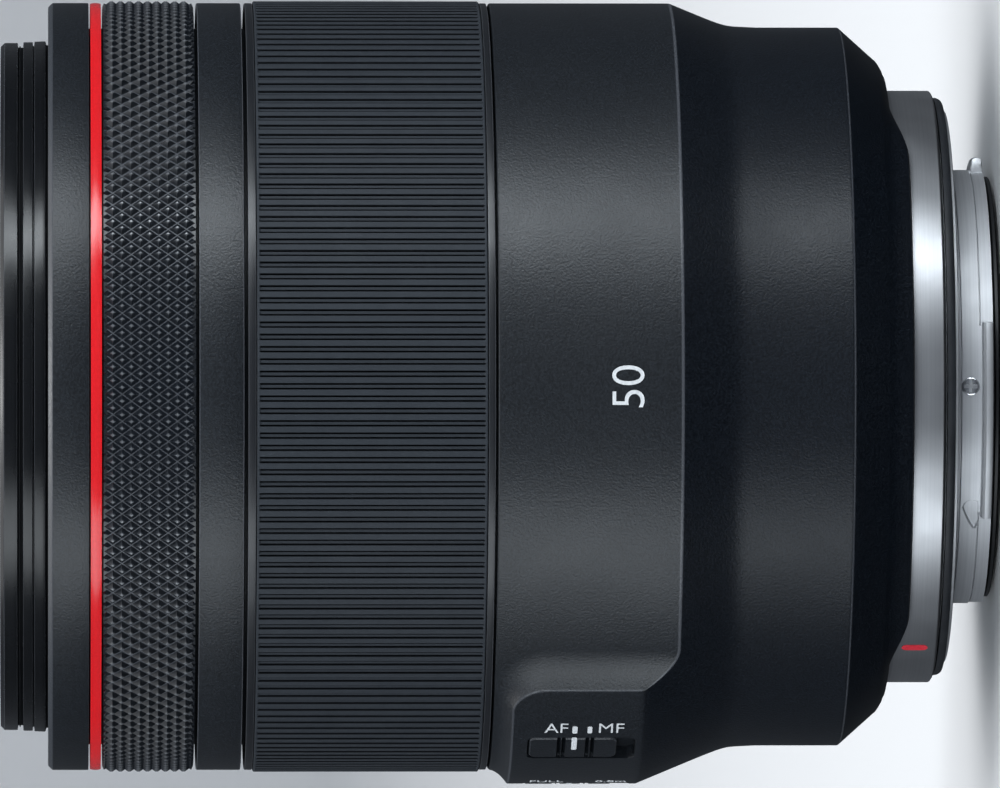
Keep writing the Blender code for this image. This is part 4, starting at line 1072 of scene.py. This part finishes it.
def buildBaffle():
    # a stepped black ring, cut low where the contacts stand
    s = baffleShape
    inner, wall = s["inner"], s["wall"]
    half = 0.5 * (s["contacts"] + 0.6) * s["pitch"] + 1.2
    ends = [s["azimuth"] + side * (half + step) for side in (-1, 1) for step in (0.0, 0.4, 0.8)]
    azimuth = thinned(np.concatenate([np.arange(0, 360, 2.0), ends]), 3, 0.0)
    away = turnsApart(azimuth, s["azimuth"])[:, None]
    low = np.clip((half + 0.2 - away) / 0.2, 0.0, 1.0)
    rim = (1 - low) * frontZ / mm + low * s["cutDepth"]
    lip = np.where(away > half + 0.6, s["rim"], 22.6)
    lipEdge = lip - np.array([0.15, 0.0, 0.0, 0.1])
    radius = sideBySide(len(azimuth), [inner, wall, wall], lipEdge, [inner + 0.6, inner + 0.25, inner])
    rimDepth = rim - np.array([0.5, 0.46, 0.4, 0.08, 0.0, 0.0, 0.3, 1.0])
    depth = sideBySide(len(azimuth), [s["front"]] * 2, rimDepth)
    grid = roundAxis(radius, np.radians(azimuth)[:, None], depth)
    addShell("RearBaffle", grid, baffleBlack, "lens_body", "rear_baffle", "switch_plastic", sharpAngle=35.0)


def buildContacts():
    # twelve domed gold pins standing in the contact block
    s = baffleShape
    sides = 16
    profile = np.array([(0.45, 0.0), (0.45, 0.75), (0.38, 0.95), (0.22, 1.05), (0.0, 1.08)])
    angle = (np.arange(sides) * 2 * np.pi / sides)[:, None]
    place = np.radians(s["azimuth"] + (np.arange(s["contacts"]) - 0.5 * (s["contacts"] - 1)) * s["pitch"])
    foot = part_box("contact_pins")[0].z / mm + s["pinRise"]
    ring = np.arange(sides) * len(profile)
    for k, centre in enumerate(np.stack([s["circle"] * np.cos(place), s["circle"] * np.sin(place)], -1)):
        x = centre[0] + profile[:, 0] * np.cos(angle)
        y = centre[1] + profile[:, 0] * np.sin(angle)
        skin = np.stack([x, y, foot - profile[:, 1] + 0 * x], -1).reshape(-1, 3)
        points = np.concatenate([skin, [(*centre, foot)]]) * mm
        caps = np.stack([np.roll(ring, -1), ring, np.full(sides, len(skin))], -1)
        faces = [tessellate(sides, len(profile), True, False), caps]
        name = f"ContactPin{k + 1:02d}"
        pin = addPiece(name, points, faces, contactGold, "lens_body", slot="gold", weld=1e-7)
    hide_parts("contact_pins")


hiddenFinishes = {
    # finish of the pieces that stay as modelled
    "guide_barrel": innerAlloy, "focus_sleeve": innerAlloy, "motor_stator": innerAlloy,
    "mount_base": innerAlloy, "cam_ring": camBrass, "motor_rotor": camBrass, "cam_pin_1": camBrass,
    "cam_pin_2": camBrass, "cam_pin_3": camBrass, "motor_base": innerBlack, "iris_base": innerBlack,
    "iris_ring": innerBlack, "main_board": boardGreen, "switch_carrier": boardGreen,
    "contact_block": baffleBlack,
}
hiddenFinishes.update({f"iris_blade_{k:02d}": bladeSteel for k in range(1, 11)})


def finishHiddenNodes():
    for node, material in hiddenFinishes.items():
        nodes[node].data.materials.clear()
        nodes[node].data.materials.append(material)


buildFrontBarrel()
buildNameRing()
buildCover()
buildRedLine()
buildControlRing()
buildSleeve()
buildFocusRing()
buildFocusGrip()
print("front and rings made")
buildRearBarrel()
buildSwitch("FocusModeSwitch", panelShape["slotTurns"][0], "focus_mode_switch")
buildSwitch("FocusLimitSwitch", panelShape["slotTurns"][1], "focus_limit_switch")
buildPrints()
print("rear barrel and switches made")
buildGlass()
buildCells()
buildMountRing()
buildSeal()
buildBayonet()
buildScrews()
buildBaffle()
buildContacts()
finishHiddenNodes()
print("glass and mount made")


# ---- studio

studioShape = {"floorRadius": 4.2, "wallRadius": 5.2, "wallHeight": 3.6, "drop": 0.0004, "sides": 96}
floorColour = (0.74, 0.75, 0.76)


def buildStudio():
    # one bowl of revolution: a flat floor that curves up into a wall all round
    floorRadius, wallRadius, wallHeight, drop, sides = studioShape.values()
    t = 0.5 * np.pi * np.linspace(0.0, 1.0, 24)[1:]
    bend = wallRadius - floorRadius
    radius = np.concatenate([[0.0, 0.5, 2.0, floorRadius], floorRadius + bend * np.sin(t), [wallRadius]])
    height = np.concatenate([[0.0] * 4, bend * (1.0 - np.cos(t)), [wallHeight]]) - drop
    angle = (np.arange(sides) * 2 * np.pi / sides)[:, None]
    grid = np.stack([radius * np.cos(angle), radius * np.sin(angle), height + 0 * angle], -1)
    mesh = bpy.data.meshes.new("StudioFloor")
    mesh.from_pydata(grid.reshape(-1, 3).tolist(), [], tessellate(sides, len(radius), True, False).tolist())
    weldMesh(mesh, 1e-6)
    mesh.shade_smooth()
    made, tree, shader = newMaterial("studioFloor", floorColour, 0.9)
    cloud = noise(tree, objectCoordinates(tree), 1.3, 2.0)
    shaded = tuple(0.97 * value for value in floorColour)
    link(tree, tint(tree, cloud, shaded, floorColour), shader.inputs["Base Color"])
    mesh.materials.append(made)
    floor = addObject("StudioFloor", mesh)
    floor.visible_glossy = False


stripShape = {
    # name: (turn from the printed side, height, distance, width, tall, watts)
    "keyStrip": (-51.0, 0.10, 1.3, 0.34, 1.5, 20.0),
    "fillStrip": (50.0, 0.10, 1.3, 0.62, 1.4, 11.3),
}
overheadShape = {
    # name: (diameter, height, watts)
    "ceiling": (5.0, 3.4, 116.0),
    "rimLamp": (0.42, 1.5, 4.1),
}
stripColour = (0.88, 0.95, 1.0)
airShape = {"colour": (0.80, 0.88, 1.0), "level": 0.27, "low": 0.0, "high": 0.5, "behind": 0.4}


def addLamp(name, shape, size, watts, place):
    data = bpy.data.lights.new(name, "AREA")
    data.shape = shape
    data.size, data.energy = size, watts
    lamp = addObject(name, data)
    lamp.location = place
    lamp.visible_camera = False
    return lamp


def buildLights():
    for name, (turn, height, distance, width, tall, watts) in stripShape.items():
        angle = float(turnToAngle(turn))
        place = (distance * math.cos(angle), distance * math.sin(angle), height)
        lamp = addLamp(name, "RECTANGLE", width, watts, place)
        lamp.data.size_y = tall
        lamp.data.color = stripColour
        lamp.rotation_mode = "QUATERNION"
        lamp.rotation_quaternion = (Vector((0.0, 0.0, 0.06)) - lamp.location).to_track_quat("-Z", "Y")
    for name, (size, height, watts) in overheadShape.items():
        addLamp(name, "DISK", size, watts, (0.0, 0.0, height))


def buildAir():
    # the air is dark towards the floor, even at the height of the lens, brighter overhead and dimmer behind
    world = bpy.data.worlds.new("studioAir")
    world.use_nodes = True
    tree = world.node_tree
    parts = addNode(tree, "SeparateXYZ")
    link(tree, addNode(tree, "TexCoord").outputs["Generated"], parts.inputs[0])
    ramp = addNode(tree, "ValToRGB")
    level = airShape["level"]
    stops = ((0.22, airShape["low"]), (0.42, level), (0.62, level), (0.85, airShape["high"]))
    while len(ramp.color_ramp.elements) < len(stops):
        ramp.color_ramp.elements.new(0.5)
    for element, (position, share) in zip(ramp.color_ramp.elements, stops):
        element.position = position
        element.color = (*(share * value for value in airShape["colour"]), 1.0)
    link(tree, spread(tree, parts.outputs[2], 0.0, 1.0, -1.0, 1.0), ramp.inputs[0])
    air = tree.nodes["Background"]
    link(tree, ramp.outputs[0], air.inputs["Color"])
    link(tree, spread(tree, parts.outputs[1], 1.0, airShape["behind"], -0.4, 0.4), air.inputs["Strength"])
    bpy.context.scene.world = world
    bpy.context.scene.view_settings.view_transform = "Standard"


cameraShape = {
    "focal": 565.7, "sensor": 36.0, "distance": 1.7993, "height": 0.1077, "aim": (-0.00086, 0.0, 0.05584),
}


def buildCamera():
    # a long lens on its side, so that the optical axis runs across the picture
    s = cameraShape
    data = bpy.data.cameras.new("studioCamera")
    data.sensor_width = s["sensor"]
    data.lens = s["focal"]
    data.clip_end = 50.0
    camera = addObject("studioCamera", data)
    camera.location = (s["aim"][0], -s["distance"], s["height"])
    forward = (Vector(s["aim"]) - camera.location).normalized()
    right = forward.cross(Vector((1.0, 0.0, 0.0))).normalized()
    up = right.cross(forward)
    camera.rotation_mode = "QUATERNION"
    camera.rotation_quaternion = Matrix((right, up, -forward)).transposed().to_quaternion()
    bpy.context.scene.camera = camera


buildStudio()
buildLights()
buildAir()
buildCamera()
print("studio made")
